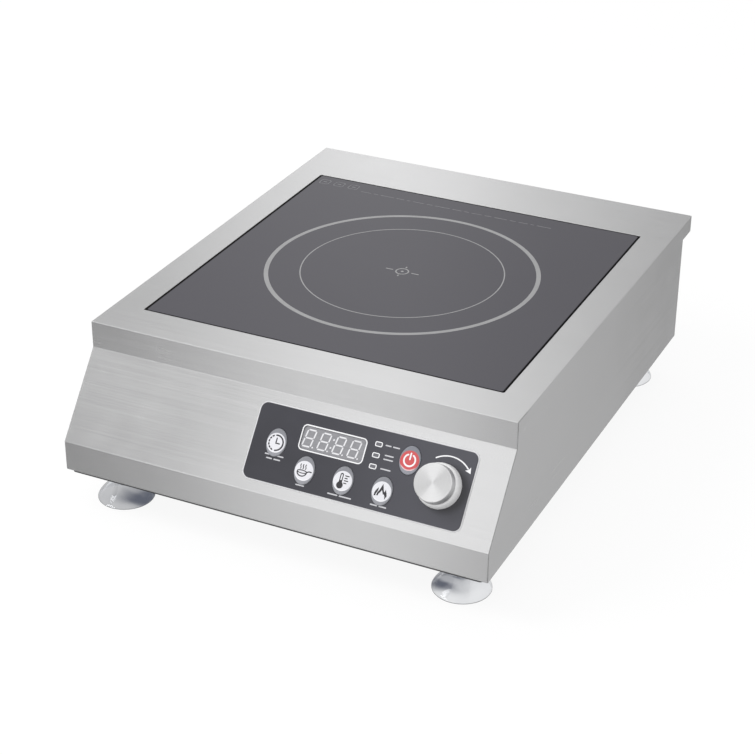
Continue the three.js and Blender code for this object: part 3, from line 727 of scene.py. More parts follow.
# ------------------------------------------------------------------ housing
# y, z of each corner of the side view, then the outer bend radius there
OUTLINE = [(FRONT_Y, BASE_Z, 1.1), (REAR_Y, BASE_Z, 0.3), (REAR_Y, LIP_Z, 0.3),
           (LIP_Y, LIP_Z, 1.2), (LIP_Y, TOP_Z, 1.2), (EDGE_Y, TOP_Z, 0.35),
           (EDGE_Y, BAND_Z, 0.6), (FRONT_Y, SLOPE_Z, 0.9)]
SIDE_ROUND = 0.6


def profile(inset, steps=5):
    """Side view moved inward by inset, with its bends."""
    out = []
    points = [Vector((y, z)) for y, z, _ in OUTLINE]
    for i, point in enumerate(points):
        dir0 = (point - points[i - 1]).normalized()
        dir1 = (points[(i + 1) % len(points)] - point).normalized()
        sign = 1 if dir0.x * dir1.y - dir0.y * dir1.x > 0 else -1
        bend = OUTLINE[i][2]
        r = max(0.03, bend - inset if sign > 0 else bend + inset)
        theta = math.acos(max(-1, min(1, dir0.dot(dir1))))
        start = mitre(point, dir0, dir1, inset) - dir0 * (r * math.tan(theta / 2))
        n0 = left_of(dir0)
        centre = start + (n0 if sign > 0 else -n0) * r
        v = start - centre
        for k in range(steps + 1):
            a = sign * theta * k / steps
            out.append((centre.x + v.x * math.cos(a) - v.y * math.sin(a),
                        centre.y + v.x * math.sin(a) + v.y * math.cos(a)))
    return out


def at_x(x, points):
    return [(x, y, z) for y, z in points]


def control_holes(key_gap, key_steps, window, lamp_gap, bottom):
    """Cutters through the slope for the keys, the window, the lamps and the knob shaft."""
    keys = [oval(x, y, KEY_W + key_gap, KEY_H + key_gap, key_steps) for x, y in KEYS.values()]
    lamps = [rrect(x, y, LAMP_W + lamp_gap, LAMP_H + lamp_gap, 0.6) for x, y in LAMPS.values()]
    shaft = disc(KNOB_X, KNOB_Y, SHAFT_HOLE, 32)
    return [prism(outline, bottom, 3) for outline in keys + [window] + lamps + [shaft]]


half_loops = []
for k in range(6):
    a = math.radians(90 * k / 5)
    half_loops.append(at_x(-HALF_W + SIDE_ROUND * (1 - math.cos(a)),
                           profile(SIDE_ROUND * (1 - math.sin(a)))))
mirrored = [[(-x, y, z) for x, y, z in loop] for loop in half_loops[::-1]]
housing = build("housing_skin", [loft(half_loops + mirrored)], [STEEL])

INNER_W = HALF_W - SHEET
inner = profile(SHEET, 3)
cut(housing, loft([at_x(-INNER_W, inner), at_x(INNER_W, inner)]))
# openings in the rear wall and in the bottom
cut(housing, box(-INNER_W, INNER_W, 183.0, REAR_Y + 0.6, BASE_Z + SHEET, LIP_Z - 0.02))
cut(housing, box(-HALF_W + 14, HALF_W - 14, FRONT_Y + 14, REAR_Y + 1.2,
                 BASE_Z - 1, BASE_Z + SHEET + 0.4))
# glass opening with a rolled upper edge: z, growth of the opening
OPENING_EDGE = [(118, 0), (TOP_Z - 0.26, 0), (TOP_Z - 0.14, 0.03), (TOP_Z - 0.05, 0.10),
                (TOP_Z, 0.2), (TOP_Z + 1, 1.5)]
cut(housing, loft([at_z(rrect(0, PLATE_Y, 2 * (OPENING + g), 2 * (OPENING + g), 1.3 + g, 5), z)
                   for z, g in OPENING_EDGE]))
# upright flanges behind the rear panel
for side in (-1, 1):
    x0, x1 = sorted((side * (HALF_W - SHEET + 0.3), side * (HALF_W - 13)))
    join(housing, box(x0, x1, REAR_Y - 2.4, REAR_Y - 1.4, BASE_Z + SHEET + 0.2, LIP_Z - 1.5))
cut(housing, *control_holes(key_gap=1.2, key_steps=40, lamp_gap=0.6, bottom=-3,
                            window=rrect(DISPLAY_X, DISPLAY_Y, 44, 14.4, 1.5)), place=SLOPE)

# Butt seams between the folded front and the sides, ending in a relief hole on the top edge
SEAM_END_Y = EDGE_Y + 15.0
SEAM_LINE = [Vector(p) for p in ((SEAM_END_Y, TOP_Z), (EDGE_Y, TOP_Z), (EDGE_Y, BAND_Z),
                                 (FRONT_Y, SLOPE_Z), (FRONT_Y, BASE_Z - 1.0))]
SEAM_HALF, SEAM_OUT, SEAM_IN = 0.16, -0.5, 0.86    # half width, reach outside and inside


def seam_point(i, inset):
    dirs = [(b - a).normalized() for a, b in zip(SEAM_LINE, SEAM_LINE[1:])]
    return mitre(SEAM_LINE[i], dirs[max(i - 1, 0)], dirs[min(i, len(dirs) - 1)], inset)


for side in (-1, 1):
    loops = []
    for i in range(len(SEAM_LINE)):
        quad = []
        for depth, t in ((SEAM_OUT, SEAM_HALF), (SEAM_IN, SEAM_HALF),
                         (SEAM_IN, -SEAM_HALF), (SEAM_OUT, -SEAM_HALF)):
            p = seam_point(i, depth + t)
            quad.append((side * (HALF_W - depth + t), p.x, p.y))
        loops.append(quad)
    cut(housing, loft(loops))
    tilted = (Matrix.Translation((side * HALF_W, SEAM_END_Y, TOP_Z))
              @ Matrix.Rotation(side * math.radians(45), 4, "Y"))
    cut(housing, moved(prism(disc(0, 0, 1.3, 16), -0.9, 1.0), tilted))
tidy(housing)
finish(housing, "brushed_steel_outer", "housing_shell", sharp=30)

# ------------------------------------------------------------------ rear panel
# local x is X, y is Z and z points to the front
REAR_PLACE = Matrix(((1, 0, 0, 0), (0, 0, -1, (REAR_Y - 0.2) * MM), (0, 1, 0, 0), (0, 0, 0, 1)))
REAR_SLOTS, REAR_PITCH = 15, 12.8
rear = build("rear_panel_skin", [box(-HALF_W + 1.4, HALF_W - 1.4, BASE_Z + 1.4, LIP_Z - 0.3,
                                     0, SHEET)], [STEEL], REAR_PLACE)
cut(rear, *[prism(rrect(-132 + REAR_PITCH * i + 2.5, 74, 5, 48, 2.45), -1, 2)
            for i in range(REAR_SLOTS)],
    box(INLET_X - 17, INLET_X + 17, INLET_Z - 13.5, INLET_Z + 13.5, -1, 2))
tidy(rear)
finish(rear, "brushed_steel_outer", "rear_panel", bevel=0.22, angle=50)

# ------------------------------------------------------------------ base plate
base_lo, base_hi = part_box("base_plate")
PLATE_BOTTOM, PLATE_TOP = 28.8, 29.8
SLOT_PITCH, SLOT_W, SLOT_R = 12, 5.2, 2.55
VENT_R, VENT_RIB = 43, 5                      # round vent under the fan, split by a rib
BOSS = [(0, 29.1), (3.9, 29.1), (3.9, 29.95), (3.1, 30.8), (3.0, 37.4), (2.7, 37.8), (0, 37.8)]
base_plate = build("base_plate_skin", [prism(
    rrect(0, (base_lo.y + base_hi.y) / 2 / MM, 2 * HALF_W - 9.2,
          (base_hi.y - base_lo.y) / MM, 2.0, 4), PLATE_BOTTOM, PLATE_TOP)], [STEEL_BASE])
holes = []
for row in range(-3, 4):
    dy = row * SLOT_PITCH
    half = math.sqrt(VENT_R * VENT_R - dy * dy)
    length = half - VENT_RIB / 2
    for k in range(2):
        x0 = FAN_X - half + k * (length + VENT_RIB)
        holes.append(rrect(x0 + length / 2, FAN_Y + dy, length, SLOT_W, SLOT_R))
holes += [rrect(-85, -93.4 + SLOT_PITCH * i, 50, SLOT_W, SLOT_R) for i in range(6)]
holes += [disc(x, y, 4.8, 24) for x, y in FEET.values()]
cut(base_plate, *[prism(hole, 28, 31) for hole in holes])
join(base_plate, *[moved(lathe(BOSS, 24), Matrix.Translation((x, y, 0)))
                   for x, y in ((-143, -118), (38, -118), (-143, 36), (38, 36))])
tidy(base_plate)
finish(base_plate, "steel_base", "base_plate", bevel=0.2, angle=50)


# ------------------------------------------------------------------ screws
def screw_part():
    """Pan head with a cross recess; the head stands on z = 0 and the shank points down."""
    r, h, length, shank = 3.4, 1.9, 6.0, 1.7
    points = [(0, h)]
    for k in range(1, 6):
        a = math.radians(90 * k / 5)
        points.append((r * math.sin(a) * 0.98, h * (0.35 + 0.65 * math.cos(a))))
    points += [(r, h * 0.2), (r, 0.02), (shank, 0.02), (shank, -length + 0.6),
               (0.6, -length), (0, -length)]
    ob = build("screw_tmp", [lathe(points, 28)])
    cut(ob, prism(cross(arm=r * 0.62, half=r * 0.16), h * 0.42, h + 1))
    tidy(ob)
    me = ob.data
    part = [v.co / MM for v in me.vertices], [list(p.vertices) for p in me.polygons], 0
    bpy.data.objects.remove(ob)
    bpy.data.meshes.remove(me)
    return part


SCREW = screw_part()
TO_REAR = Matrix.Rotation(math.radians(-90), 4, "X")      # local z to +Y
TO_DOWN = Matrix.Rotation(math.radians(180), 4, "X")


def screw_place(at, facing, turn, flatten=None, scale=1.0):
    """Place of a screw; turn is in radians and flatten scales it along its axis."""
    place = Matrix.Translation(at) @ facing @ Matrix.Rotation(turn, 4, "Z")
    if flatten:
        place = place @ Matrix.Scale(flatten, 4, (0, 0, 1))
    return place @ Matrix.Scale(scale, 4)


def screws(name, places):
    ob = build(name, [moved(SCREW, place) for place in places], [ZINC])
    finish(ob, "zinc_plated", sharp=32)


screws("rear_screws", [screw_place((x, REAR_Y - 0.18, z), TO_REAR, 0.3 + x + z, flatten=0.3)
                       for x in (-158.5, 158.5) for z in (42.0, 104.0)])
screws("base_screws", [screw_place((x, y, 28.78), TO_DOWN, x + y)
                       for x in (-155.5, 155.5) for y in (-185.0, -20.0, 176.0)])

# ------------------------------------------------------------------ feet
# radius, z: down the outside, then up the inside
FOOT = [(9.3, 28.5), (9.42, 28.2), (9.42, 26.0), (9.2, 25.6), (8.6, 25.0), (8.15, 23.6),
        (8.0, 21.8), (8.05, 19.8), (8.5, 17.6), (9.8, 15.0), (11.6, 12.6), (13.9, 10.0),
        (16.3, 7.4), (18.5, 4.9), (20.0, 2.9), (20.7, 1.7), (21.0, 0.9), (20.98, 0.35),
        (20.7, 0.0),
        (20.0, 0.0), (19.7, 0.25), (18.7, 1.6), (17.2, 3.3), (15.2, 5.4), (12.8, 7.8),
        (10.4, 10.1), (8.6, 11.9), (7.6, 12.9), (6.9, 13.35), (2.9, 13.4), (2.7, 13.5),
        (2.7, 28.5)]
# radius, z from the tip down through the thread to the head
FOOT_SCREW = ([(0, 35.4), (1.4, 35.4), (2.1, 34.7)]
              + [(2.1 - (0.32 if k % 2 else 0.0), 34.4 - 0.42 * k) for k in range(48)]
              + [(2.1, 13.3), (4.2, 13.2), (4.4, 12.9), (4.4, 11.9), (4.1, 11.0),
                 (3.2, 10.5), (0, 10.3)])
for where, (x, y) in FEET.items():
    place = Matrix.Translation((x * MM, y * MM, 0))
    foot = build("foot_clear_" + where, [lathe(FOOT, 72, closed=True)], [PVC], place)
    finish(foot, "clear_soft_plastic", "foot_" + where)
    screw = build("foot_screw_skin_" + where, [lathe(FOOT_SCREW, 28)], [ZINC], place)
    cut(screw, prism(cross(arm=2.5, half=0.6), 9.0, 11.9))
    tidy(screw)
    finish(screw, "zinc_plated", "foot_screw_" + where, sharp=32)

# ------------------------------------------------------------------ glass and seal
# z, inset of the rounded edges
GLASS_EDGE = [(126.0, 0.35), (126.12, 0.12), (126.4, 0.0), (GLASS_TOP - 0.32, 0.0),
              (GLASS_TOP - 0.18, 0.04), (GLASS_TOP - 0.08, 0.10), (GLASS_TOP - 0.02, 0.2),
              (GLASS_TOP, 0.34)]
glass = build("glass_top", [loft([
    at_z(rrect(GLASS_SHIFT, PLATE_Y, 2 * (GLASS - g) - GLASS_TRIM, 2 * (GLASS - g), 1.6 - g), z)
    for z, g in GLASS_EDGE])], [GLASS_MAT])
finish(glass, "ceramic_glass", "glass_plate", sharp=50)

SEAL_OUT, SEAL_IN, LEDGE_IN = OPENING - 0.06, GLASS + 0.06, 131.0 + 2
# half width, z, and 1 where the section follows the shifted glass
SEAL = [(SEAL_OUT, 124.9, 0), (SEAL_OUT, TOP_Z - 0.32, 0), (SEAL_OUT - 0.12, TOP_Z - 0.22, 0),
        (SEAL_IN + 0.12, TOP_Z - 0.28, 1), (SEAL_IN, TOP_Z - 0.42, 1), (SEAL_IN, 125.9, 1),
        (LEDGE_IN, 125.9, 0), (LEDGE_IN, 124.9, 0)]
seal = build("glass_seal_ring", [loft([
    at_z(rrect(GLASS_SHIFT * q, PLATE_Y, 2 * half - GLASS_TRIM * q, 2 * half, 1.4, 5), z)
    for half, z, q in SEAL], closed=True)], [BLACK_SOFT])
finish(seal, "black_silicone", "glass_seal")

# ------------------------------------------------------------------ print on the glass
INK_LOW, INK_TOP = GLASS_TOP - 0.05, TOP_Z
PRINT_Y = 9.9
# outer and inner radius, steps: two cooking rings and the ring of the centre mark
PRINT_RINGS = [(104.6, 101.2, 256), (77.7, 76.8, 200), (5.3, 4.3, 64)]
DASHES = (9, 4, 12, 7, 3, 10, 5, 13, 8, 4, 9, 6, 11, 5, 8, 3, 12)

ink = [ring_prism(disc(0.0, PRINT_Y, 2 * outer, steps), disc(0.0, PRINT_Y, 2 * hole, steps),
                  INK_LOW, INK_TOP) for outer, hole, steps in PRINT_RINGS]
ink.append(prism(disc(0.0, PRINT_Y, 2 * 1.1, 24), INK_LOW, INK_TOP))
for side in (-1, 1):                          # bars around the centre mark
    ink.append(prism(rrect(side * 10.6, PRINT_Y, 6.2, 1.05, 0.5, 4), INK_LOW, INK_TOP))
    ink.append(prism(rrect(0, PRINT_Y + side * 7.7, 1.05, 2.4, 0.5, 4), INK_LOW, INK_TOP))
for k in range(3):                            # small outlines near the rear left corner
    x, y = -131.0 + 13.2 * k, 139.0
    ink.append(ring_prism(rrect(x, y, 8.6, 8.6, 2.0), rrect(x, y, 7.7, 7.7, 1.6),
                          INK_LOW, INK_TOP, 1))
    ink.append(prism(rrect(x, y, 3.4, 0.9, 0.4, 3), INK_LOW, INK_TOP, 1))
ink += dashes(-95.0, 133.6, DASHES, 2.4, (0.55, 0.25, 3), INK_LOW, INK_TOP, 1)
finish(build("glass_print", ink, [PRINT, PRINT_FAINT]), "ceramic_glass")

# ------------------------------------------------------------------ control panel
# growth beyond the panel size, z
PANEL_EDGE = [(PANEL_RIM_W, 0.02), (PANEL_RIM_W, 0.36), (PANEL_RIM_W - 0.06, 0.46),
              (PANEL_RIM_W - 0.22, 0.52), (0.14, 0.55), (0.08, 0.95), (-0.12, PANEL_T)]
panel = build("control_face", [loft(
    [at_z(rrect(PANEL_X, PANEL_Y, PANEL_W + 2 * g, PANEL_H + 2 * g, PANEL_R + g, 8), z)
     for g, z in PANEL_EDGE], slots=[1, 1, 1, 1, 1, 0, 0, 0])], [PANEL_MAT, PANEL_RIM], SLOPE)


def display_outline(extra, r_extra):
    return rrect(DISPLAY_X, DISPLAY_Y, DISPLAY_W + extra, DISPLAY_H + extra,
                 DISPLAY_R + r_extra, 8)


cut(panel, *control_holes(key_gap=0.5, key_steps=56, window=display_outline(0, 0),
                          lamp_gap=0, bottom=-1))
tidy(panel)
finish(panel, "panel_dark", "control_overlay", sharp=32)

window = build("display_glass", [prism(display_outline(-0.16, -0.08), 0.08, 0.42)],
               [WINDOW], SLOPE)
finish(window, "window_smoke", "display_window", bevel=0.06, seg=1)

# ------------------------------------------------------------------ display digits
DIGIT_W, DIGIT_H = 3.15, 5.9                  # half sizes
DIGIT_PITCH, DIGIT_GAP, DIGIT_STROKE = 11.4, 0.28, 1.05
SLANT = 0.17


def segment(x0, y0, x1, y1):
    """Hexagonal bar from one end to the other."""
    a, b = Vector((x0, y0)), Vector((x1, y1))
    w = DIGIT_STROKE
    d = (b - a).normalized()
    n = left_of(d)
    points = [a, a + d * w / 2 + n * w / 2, b - d * w / 2 + n * w / 2,
              b, b - d * w / 2 - n * w / 2, a + d * w / 2 - n * w / 2]
    return [(p.x, p.y) for p in points]


def digit_part(outline, cx):
    slanted = [(cx + x + SLANT * y, DISPLAY_Y + y) for x, y in outline]
    return prism(slanted, 0.38, 0.46)


w, h, gap = DIGIT_W, DIGIT_H, DIGIT_GAP
SEGMENTS = [(-w + gap, h, w - gap, h), (-w + gap, 0, w - gap, 0), (-w + gap, -h, w - gap, -h),
            (-w, gap, -w, h - gap), (w, gap, w, h - gap),
            (-w, -h + gap, -w, -gap), (w, -h + gap, w, -gap)]
digit_parts = []
for k in range(4):
    cx = DISPLAY_X - 1.0 + (-1.5 * DIGIT_PITCH + DIGIT_PITCH * k)
    digit_parts += [digit_part(segment(*ends), cx) for ends in SEGMENTS]
    digit_parts.append(digit_part(disc(w + 1.75, -h + 0.1, 1.15, 14), cx))
for y in (2.9, -2.9):                         # colon
    digit_parts.append(digit_part(disc(0, y, 1.35, 14), DISPLAY_X - 0.6))
finish(build("display_digits", digit_parts, [DIGIT], SLOPE), "window_smoke")

# ------------------------------------------------------------------ print on the panel
MARK_LOW, MARK_TOP = PANEL_T - 0.06, PANEL_T + 0.03
ARROW_X, ARROW_Y, ARROW_R = 122.7, -34.09, 19.13
arrow_start = math.degrees(math.atan2(-18.1 - ARROW_Y, 112.2 - ARROW_X))
arrow_end = math.degrees(math.atan2(-21.6 - ARROW_Y, 137.2 - ARROW_X))


def arrow_point(degrees):
    return Vector(arc(ARROW_X, ARROW_Y, ARROW_R, degrees, degrees, 1)[0])


marks = [ring_prism(display_outline(1.7, 0.85), display_outline(0.05, 0.02),
                    MARK_LOW, MARK_TOP)]
for x, y in LAMPS.values():
    marks.append(ring_prism(rrect(x, y, LAMP_W + 0.85, LAMP_H + 0.70, 1.1),
                            rrect(x, y, LAMP_W - 0.55, LAMP_H - 0.60, 0.5),
                            MARK_LOW, MARK_TOP))
# clockwise arrow over the knob
marks.append(prism(stroke(arc(ARROW_X, ARROW_Y, ARROW_R, arrow_start, arrow_end + 5, 28), 0.9),
                   MARK_LOW, MARK_TOP))
tip, tail = arrow_point(arrow_end - 6.5), arrow_point(arrow_end + 5)
ahead = (tip - tail).normalized()
beside = left_of(ahead)
marks.append(prism([tuple(tip), tuple(tail + beside * 2.3), tuple(tail + ahead * 0.7),
                    tuple(tail - beside * 2.3)], MARK_LOW, MARK_TOP))
finish(build("panel_print", marks, [WHITE_INK], SLOPE), "panel_dark")

# x, y of a caption, then its lines as (rise, bar lengths)
CAPTIONS = [(79.6, -18.3, [(0, [4.4, 5.2])]),
            (78.9, -26.3, [(1.35, [6.6]), (-1.35, [7.2])]),
            (78.9, -34.4, [(0, [7.6])]),
            (-3.0, -44.7, [(1.15, [6.8, 6.6]), (-1.5, [4.6, 5.2])]),
            (21.6, -59.0, [(0, [6.6])]),
            (51.7, -59.3, [(0, [7.6, 9.2])]),
            (80.8, -59.2, [(0, [5.4, 5.6])])]
CAPTION_GAP = 1.1
captions = []
for x, y, lines in CAPTIONS:
    for rise, lengths in lines:
        total = sum(lengths) + CAPTION_GAP * (len(lengths) - 1)
        captions += dashes(x + 0.7 - total / 2, y + rise, lengths, CAPTION_GAP,
                           (0.9, 0.42, 4), MARK_LOW, MARK_TOP)
finish(build("panel_caption_bars", captions, [CAPTION_INK], SLOPE), "panel_dark")


# ------------------------------------------------------------------ keys
def key_part():
    """Round stem under an oval cap with a rolled edge and a slightly raised top."""
    n = 56
    skirt = PANEL_T + 0.22                    # top of the upright wall
    roll = (KEY_TOP - skirt) * 0.78
    shoulder = skirt + roll

    def cap(f, z):
        return at_z(oval(0, 0, KEY_W * f, KEY_H * f, n), z)

    stem = [(0.5, -5.3), (2.0, -5.3), (2.2, -5.1), (2.2, -2.4), (2.6, -2.2)]   # radius, z
    loops = [at_z(disc(0, 0, 2 * r, n), z) for r, z in stem]
    loops += [cap(f, z) for f, z in ((0.97, -2.2), (1.0, -2.1), (1.0, 0.0), (1.0, skirt))]
    for k in range(1, 7):
        a = math.radians(15 * k)
        loops.append(cap(1.0 - 0.13 * (1 - math.cos(a)), skirt + roll * math.sin(a)))
    for f, rise in ((0.82, 0.35), (0.77, 0.62), (0.72, 0.84), (0.66, 0.97), (0.60, 1.0)):
        loops.append(cap(f, shoulder + (KEY_TOP - shoulder) * rise))
    loops.append(cap(0.3, KEY_TOP))
    return loft(loops)


def steam(x):
    return [(x + 0.30 * math.sin(2 * math.pi * k / 10), 1.15 + 3.1 * k / 10)
            for k in range(11)]


# Outlines of the symbols, about the middle of the printed disc
ICONS = {
    # clock: a ring that turns to dots on its left, with two hands
    "timer": [stroke(arc(0, 0, 5.3, 100, -84, 30), 1.05)]
             + [stroke(arc(0, 0, 5.3, a - 4.6, a + 4.6, 3), 1.05, 4)
                for a in (126, 150, 174, 198, 222, 246)]
             + [stroke([(0, 3.3), (0, -0.3), (2.7, -0.3)], 0.85)],
    # open pan with a handle and steam
    "cook": [stroke(arc(-1.2, -1.0, 3.5, -4, -176, 14, ry=2.9), 0.8),
             stroke(arc(-1.2, -0.75, 3.5, 8, 172, 13, ry=0.95), 0.7),
             stroke(arc(-1.2, -0.85, 3.4, -12, -168, 13, ry=0.95), 0.6),
             stroke([(2.55, -0.55), (3.9, 0.15), (5.6, 0.1)], 0.8)]
            + [stroke(steam(x), 0.62, 4) for x in (-3.0, -1.1, 0.8)],
    # scale beside the thermometer
    "warm": [stroke([(1.3, y), (1.3 + length, y)], 0.72, 4)
             for y, length in ((3.9, 2.6), (2.2, 1.7), (0.5, 2.6), (-1.2, 1.7))],
    # flame: a small tongue at the left, then the main body
    "heat": [[(-4.8, -3.7), (-4.7, -1.3), (-3.8, 0.6), (-2.6, 2.4), (-2.4, 0.9), (-2.8, -0.5),
              (-3.4, -1.9), (-3.7, -3.5)],
             [(-3.0, -3.3), (-2.7, -1.0), (-1.7, 0.6), (-1.0, 2.5), (0.0, 5.3), (0.9, 2.8),
              (1.5, 1.0), (2.2, -0.1), (2.8, 1.9), (4.0, -0.4), (4.5, -2.3), (3.4, -4.9),
              (3.1, -3.0), (2.3, -1.5), (1.5, -1.7), (0.9, -0.3), (0.1, 1.1), (-0.7, -0.7),
              (-1.6, -1.7), (-1.9, -3.1)]],
    "power": [stroke(arc(0, -0.1, 4.05, 118, 422, 34), 1.15),
              stroke([(0, 4.7), (0, 0.5)], 1.1)],
}
THERMO_X = -1.3
THERMO_OUTER = (arc(THERMO_X, 4.2, 1.2, 0, 180, 10)
                + arc(THERMO_X, -3.1, 2.4, 120, 420, 20))
THERMO_SLOT = (arc(THERMO_X, 4.05, 0.5, 0, 180, 6)
               + [(THERMO_X - 0.5, 0.4), (THERMO_X + 0.5, 0.4)])


def inside(outline, x, y):
    result = False
    for i, (x1, y1) in enumerate(outline):
        x0, y0 = outline[i - 1]
        if (y0 > y) != (y1 > y) and x < (x1 - x0) * (y - y0) / (y1 - y0) + x0:
            result = not result
    return result


def plate_with_hole(outer, hole, z0, z1):
    bm = bmesh.new()
    edges = []
    for outline in (outer, hole):
        vs = [bm.verts.new((x, y, 0)) for x, y in outline]
        edges += [bm.edges.new((vs[i], vs[(i + 1) % len(vs)])) for i in range(len(vs))]
    bmesh.ops.triangle_fill(bm, edges=edges, use_beauty=True)
    bm.verts.index_update()
    flat = [(v.co.x, v.co.y) for v in bm.verts]
    tris = [[v.index for v in face.verts] for face in bm.faces
            if not inside(hole, sum(v.co.x for v in face.verts) / 3,
                          sum(v.co.y for v in face.verts) / 3)]
    bm.free()
    n = len(flat)
    faces = [t[::-1] for t in tris] + [[i + n for i in t] for t in tris]
    for first, count in ((0, len(outer)), (len(outer), len(hole))):
        for i in range(count):
            j = (i + 1) % count
            faces.append([first + i, first + j, n + first + j, n + first + i])
    return at_z(flat, z0) + at_z(flat, z1), faces, 0


def symbol_parts(name):
    drop = 0.0 if name == "power" else DISC_DOWN
    low, top = KEY_TOP - 0.04, KEY_TOP + 0.03

    def lowered(outline):
        return [(x, y - drop) for x, y in outline]

    parts = [prism(lowered(outline), low, top) for outline in ICONS[name]]
    if name == "warm":
        parts.insert(0, plate_with_hole(lowered(THERMO_OUTER), lowered(THERMO_SLOT), low, top))
    return parts


for name, (x, y) in KEYS.items():
    body = "key_" + name
    slot, cap_mat, ink_mat = (("key_red", KEY_RED, WHITE_INK) if name == "power"
                              else ("key_grey", KEY_WHITE, DARK_INK))
    place = SLOPE @ Matrix.Translation((x * MM, y * MM, 0))
    keycap = build("keycap_" + name, [key_part()], [cap_mat], place)
    finish(keycap, slot, body, body=body, sharp=50)
    finish(build("symbol_" + name, symbol_parts(name), [ink_mat], place), slot, body=body)

# ------------------------------------------------------------------ knob
# radius, z: over the top and down the outside, then up the hollow underneath
KNOB = ([(0, 17.12), (3.0, 17.12), (8.0, 17.14), (12.2, 17.18)]
        + arc(12.72, 16.65, 0.55, 90, 20, 5)
        + [(13.36, 16.2), (13.42, 15.6), (13.46, 12.0), (13.52, 9.9), (13.62, 9.6),
           (13.95, 9.3), (14.5, 8.7), (14.86, 7.8), (15.14, 6.8), (15.36, 5.7), (15.52, 4.5),
           (15.63, 3.3), (15.66, 2.5), (15.58, 2.0), (15.35, 1.8), (12.4, 1.8), (12.2, 2.0),
           (12.2, 6.3), (3.3, 6.4), (3.25, 14.5), (0, 14.55)])
knob_place = SLOPE @ Matrix.Translation((KNOB_X * MM, KNOB_Y * MM, 0))
# the mesh itself is placed, so the object stays at the origin
in_mm = Matrix.Scale(1 / MM, 4) @ knob_place @ Matrix.Scale(MM, 4)
knob = build("knob_cap", [moved(lathe(KNOB, 96), in_mm)], [SPUN])
finish(knob, "spun_aluminium", "knob", body="knob_group", sharp=30)

# ------------------------------------------------------------------ mains inlet
# local x is to the right seen from behind reversed (-X), y is up and z points out of the rear
INLET_Y = REAR_Y - 0.1
INLET_PLACE = Matrix(((-1, 0, 0, INLET_X * MM), (0, 0, 1, INLET_Y * MM),
                      (0, 1, 0, INLET_Z * MM), (0, 0, 0, 1)))
INLET_SCREW_DX = 25
INLET_EDGE = [(0.02, 0), (2.3, 0), (2.75, 0.15), (3.0, 0.6)]          # z, inset
SOCKET = [(-13.5, -10), (13.5, -10), (13.5, 4.5), (8.2, 10), (-8.2, 10), (-13.5, 4.5)]
PINS = [(-7, -2.5, 4.6), (7, -2.5, 4.6), (0, 3.0, 5.2)]               # x, y, height
inlet = build("inlet_socket", [loft([at_z(rrect(0, 0, 60 - 2 * g, 31 - 2 * g, 6.0 - g, 8), z)
                                     for z, g in INLET_EDGE])], [BLACK], INLET_PLACE)
join(inlet, prism(rrect(0, 0, 33, 26, 2.0), -25, 1.0))
cut(inlet, prism(SOCKET, -19, 5))
cut(inlet, *[prism(disc(dx, 0, 3.8, 24), -1, 4) for dx in (-INLET_SCREW_DX, INLET_SCREW_DX)])
tidy(inlet)
finish(inlet, "black_plastic", "power_inlet", bevel=0.25, angle=45)
pins = build("inlet_pins", [prism(rrect(x, y, 2.0, height, 0.5, 3), -20, -2.0)
                            for x, y, height in PINS], [BRASS], INLET_PLACE)
finish(pins, "zinc_plated", bevel=0.3)
screws("inlet_screws", [screw_place((INLET_X + dx, INLET_Y + 3.02, INLET_Z), TO_REAR, 0.4 * dx,
                                    flatten=0.62, scale=0.95)
                        for dx in (-INLET_SCREW_DX, INLET_SCREW_DX)])


# ------------------------------------------------------------------ coil
def wire(points, r, seg):
    """Round wire along a level path."""
    path = [Vector(p) for p in points]
    last = len(path) - 1
    dirs = [(path[min(i + 1, last)] - path[max(i - 1, 0)]).normalized()
            for i in range(len(path))]
    up = Vector((0, 0, 1))
    normal = (up - dirs[0] * up.dot(dirs[0])).normalized()
    loops = []
    for p, d in zip(path, dirs):
        normal = (normal - d * normal.dot(d)).normalized()
        across = d.cross(normal)
        loops.append([p + normal * r * math.cos(2 * math.pi * k / seg)
                      + across * r * math.sin(2 * math.pi * k / seg) for k in range(seg)])
    return loft(loops)


COIL_TURNS, COIL_R0, COIL_R1, COIL_Z, WIRE_R = 19, 25.8, 94.2, 114.05, 1.72
coil_steps = COIL_TURNS * 44
spiral = []
for k in range(coil_steps + 1):
    a = 2 * math.pi * COIL_TURNS * k / coil_steps
    r = COIL_R0 + (COIL_R1 - COIL_R0) * k / coil_steps
    spiral.append((r * math.cos(a), PLATE_Y + r * math.sin(a), COIL_Z))
coil = build("coil_winding", [wire(spiral, WIRE_R, 8)], [COPPER])
finish(coil, "copper_wire", "induction_coil", sharp=60)

# ------------------------------------------------------------------ fan rotor
FAN_Z0, FAN_Z1 = 30.4, 55.4
BLADES, BLADE_R0, BLADE_R1 = 7, 15.5, 42.6
HUB = [(0, FAN_Z0 + 1.2), (1.5, FAN_Z0 + 1.2), (1.5, FAN_Z0 + 5.3), (16.4, FAN_Z0 + 5.3),
       (17.0, FAN_Z0 + 5.9), (17.0, FAN_Z1 - 2.8), (16.4, FAN_Z1 - 1.8), (15.0, FAN_Z1 - 1.4),
       (6.0, FAN_Z1 - 1.4), (5.6, FAN_Z1 - 1.8), (0, FAN_Z1 - 1.8)]


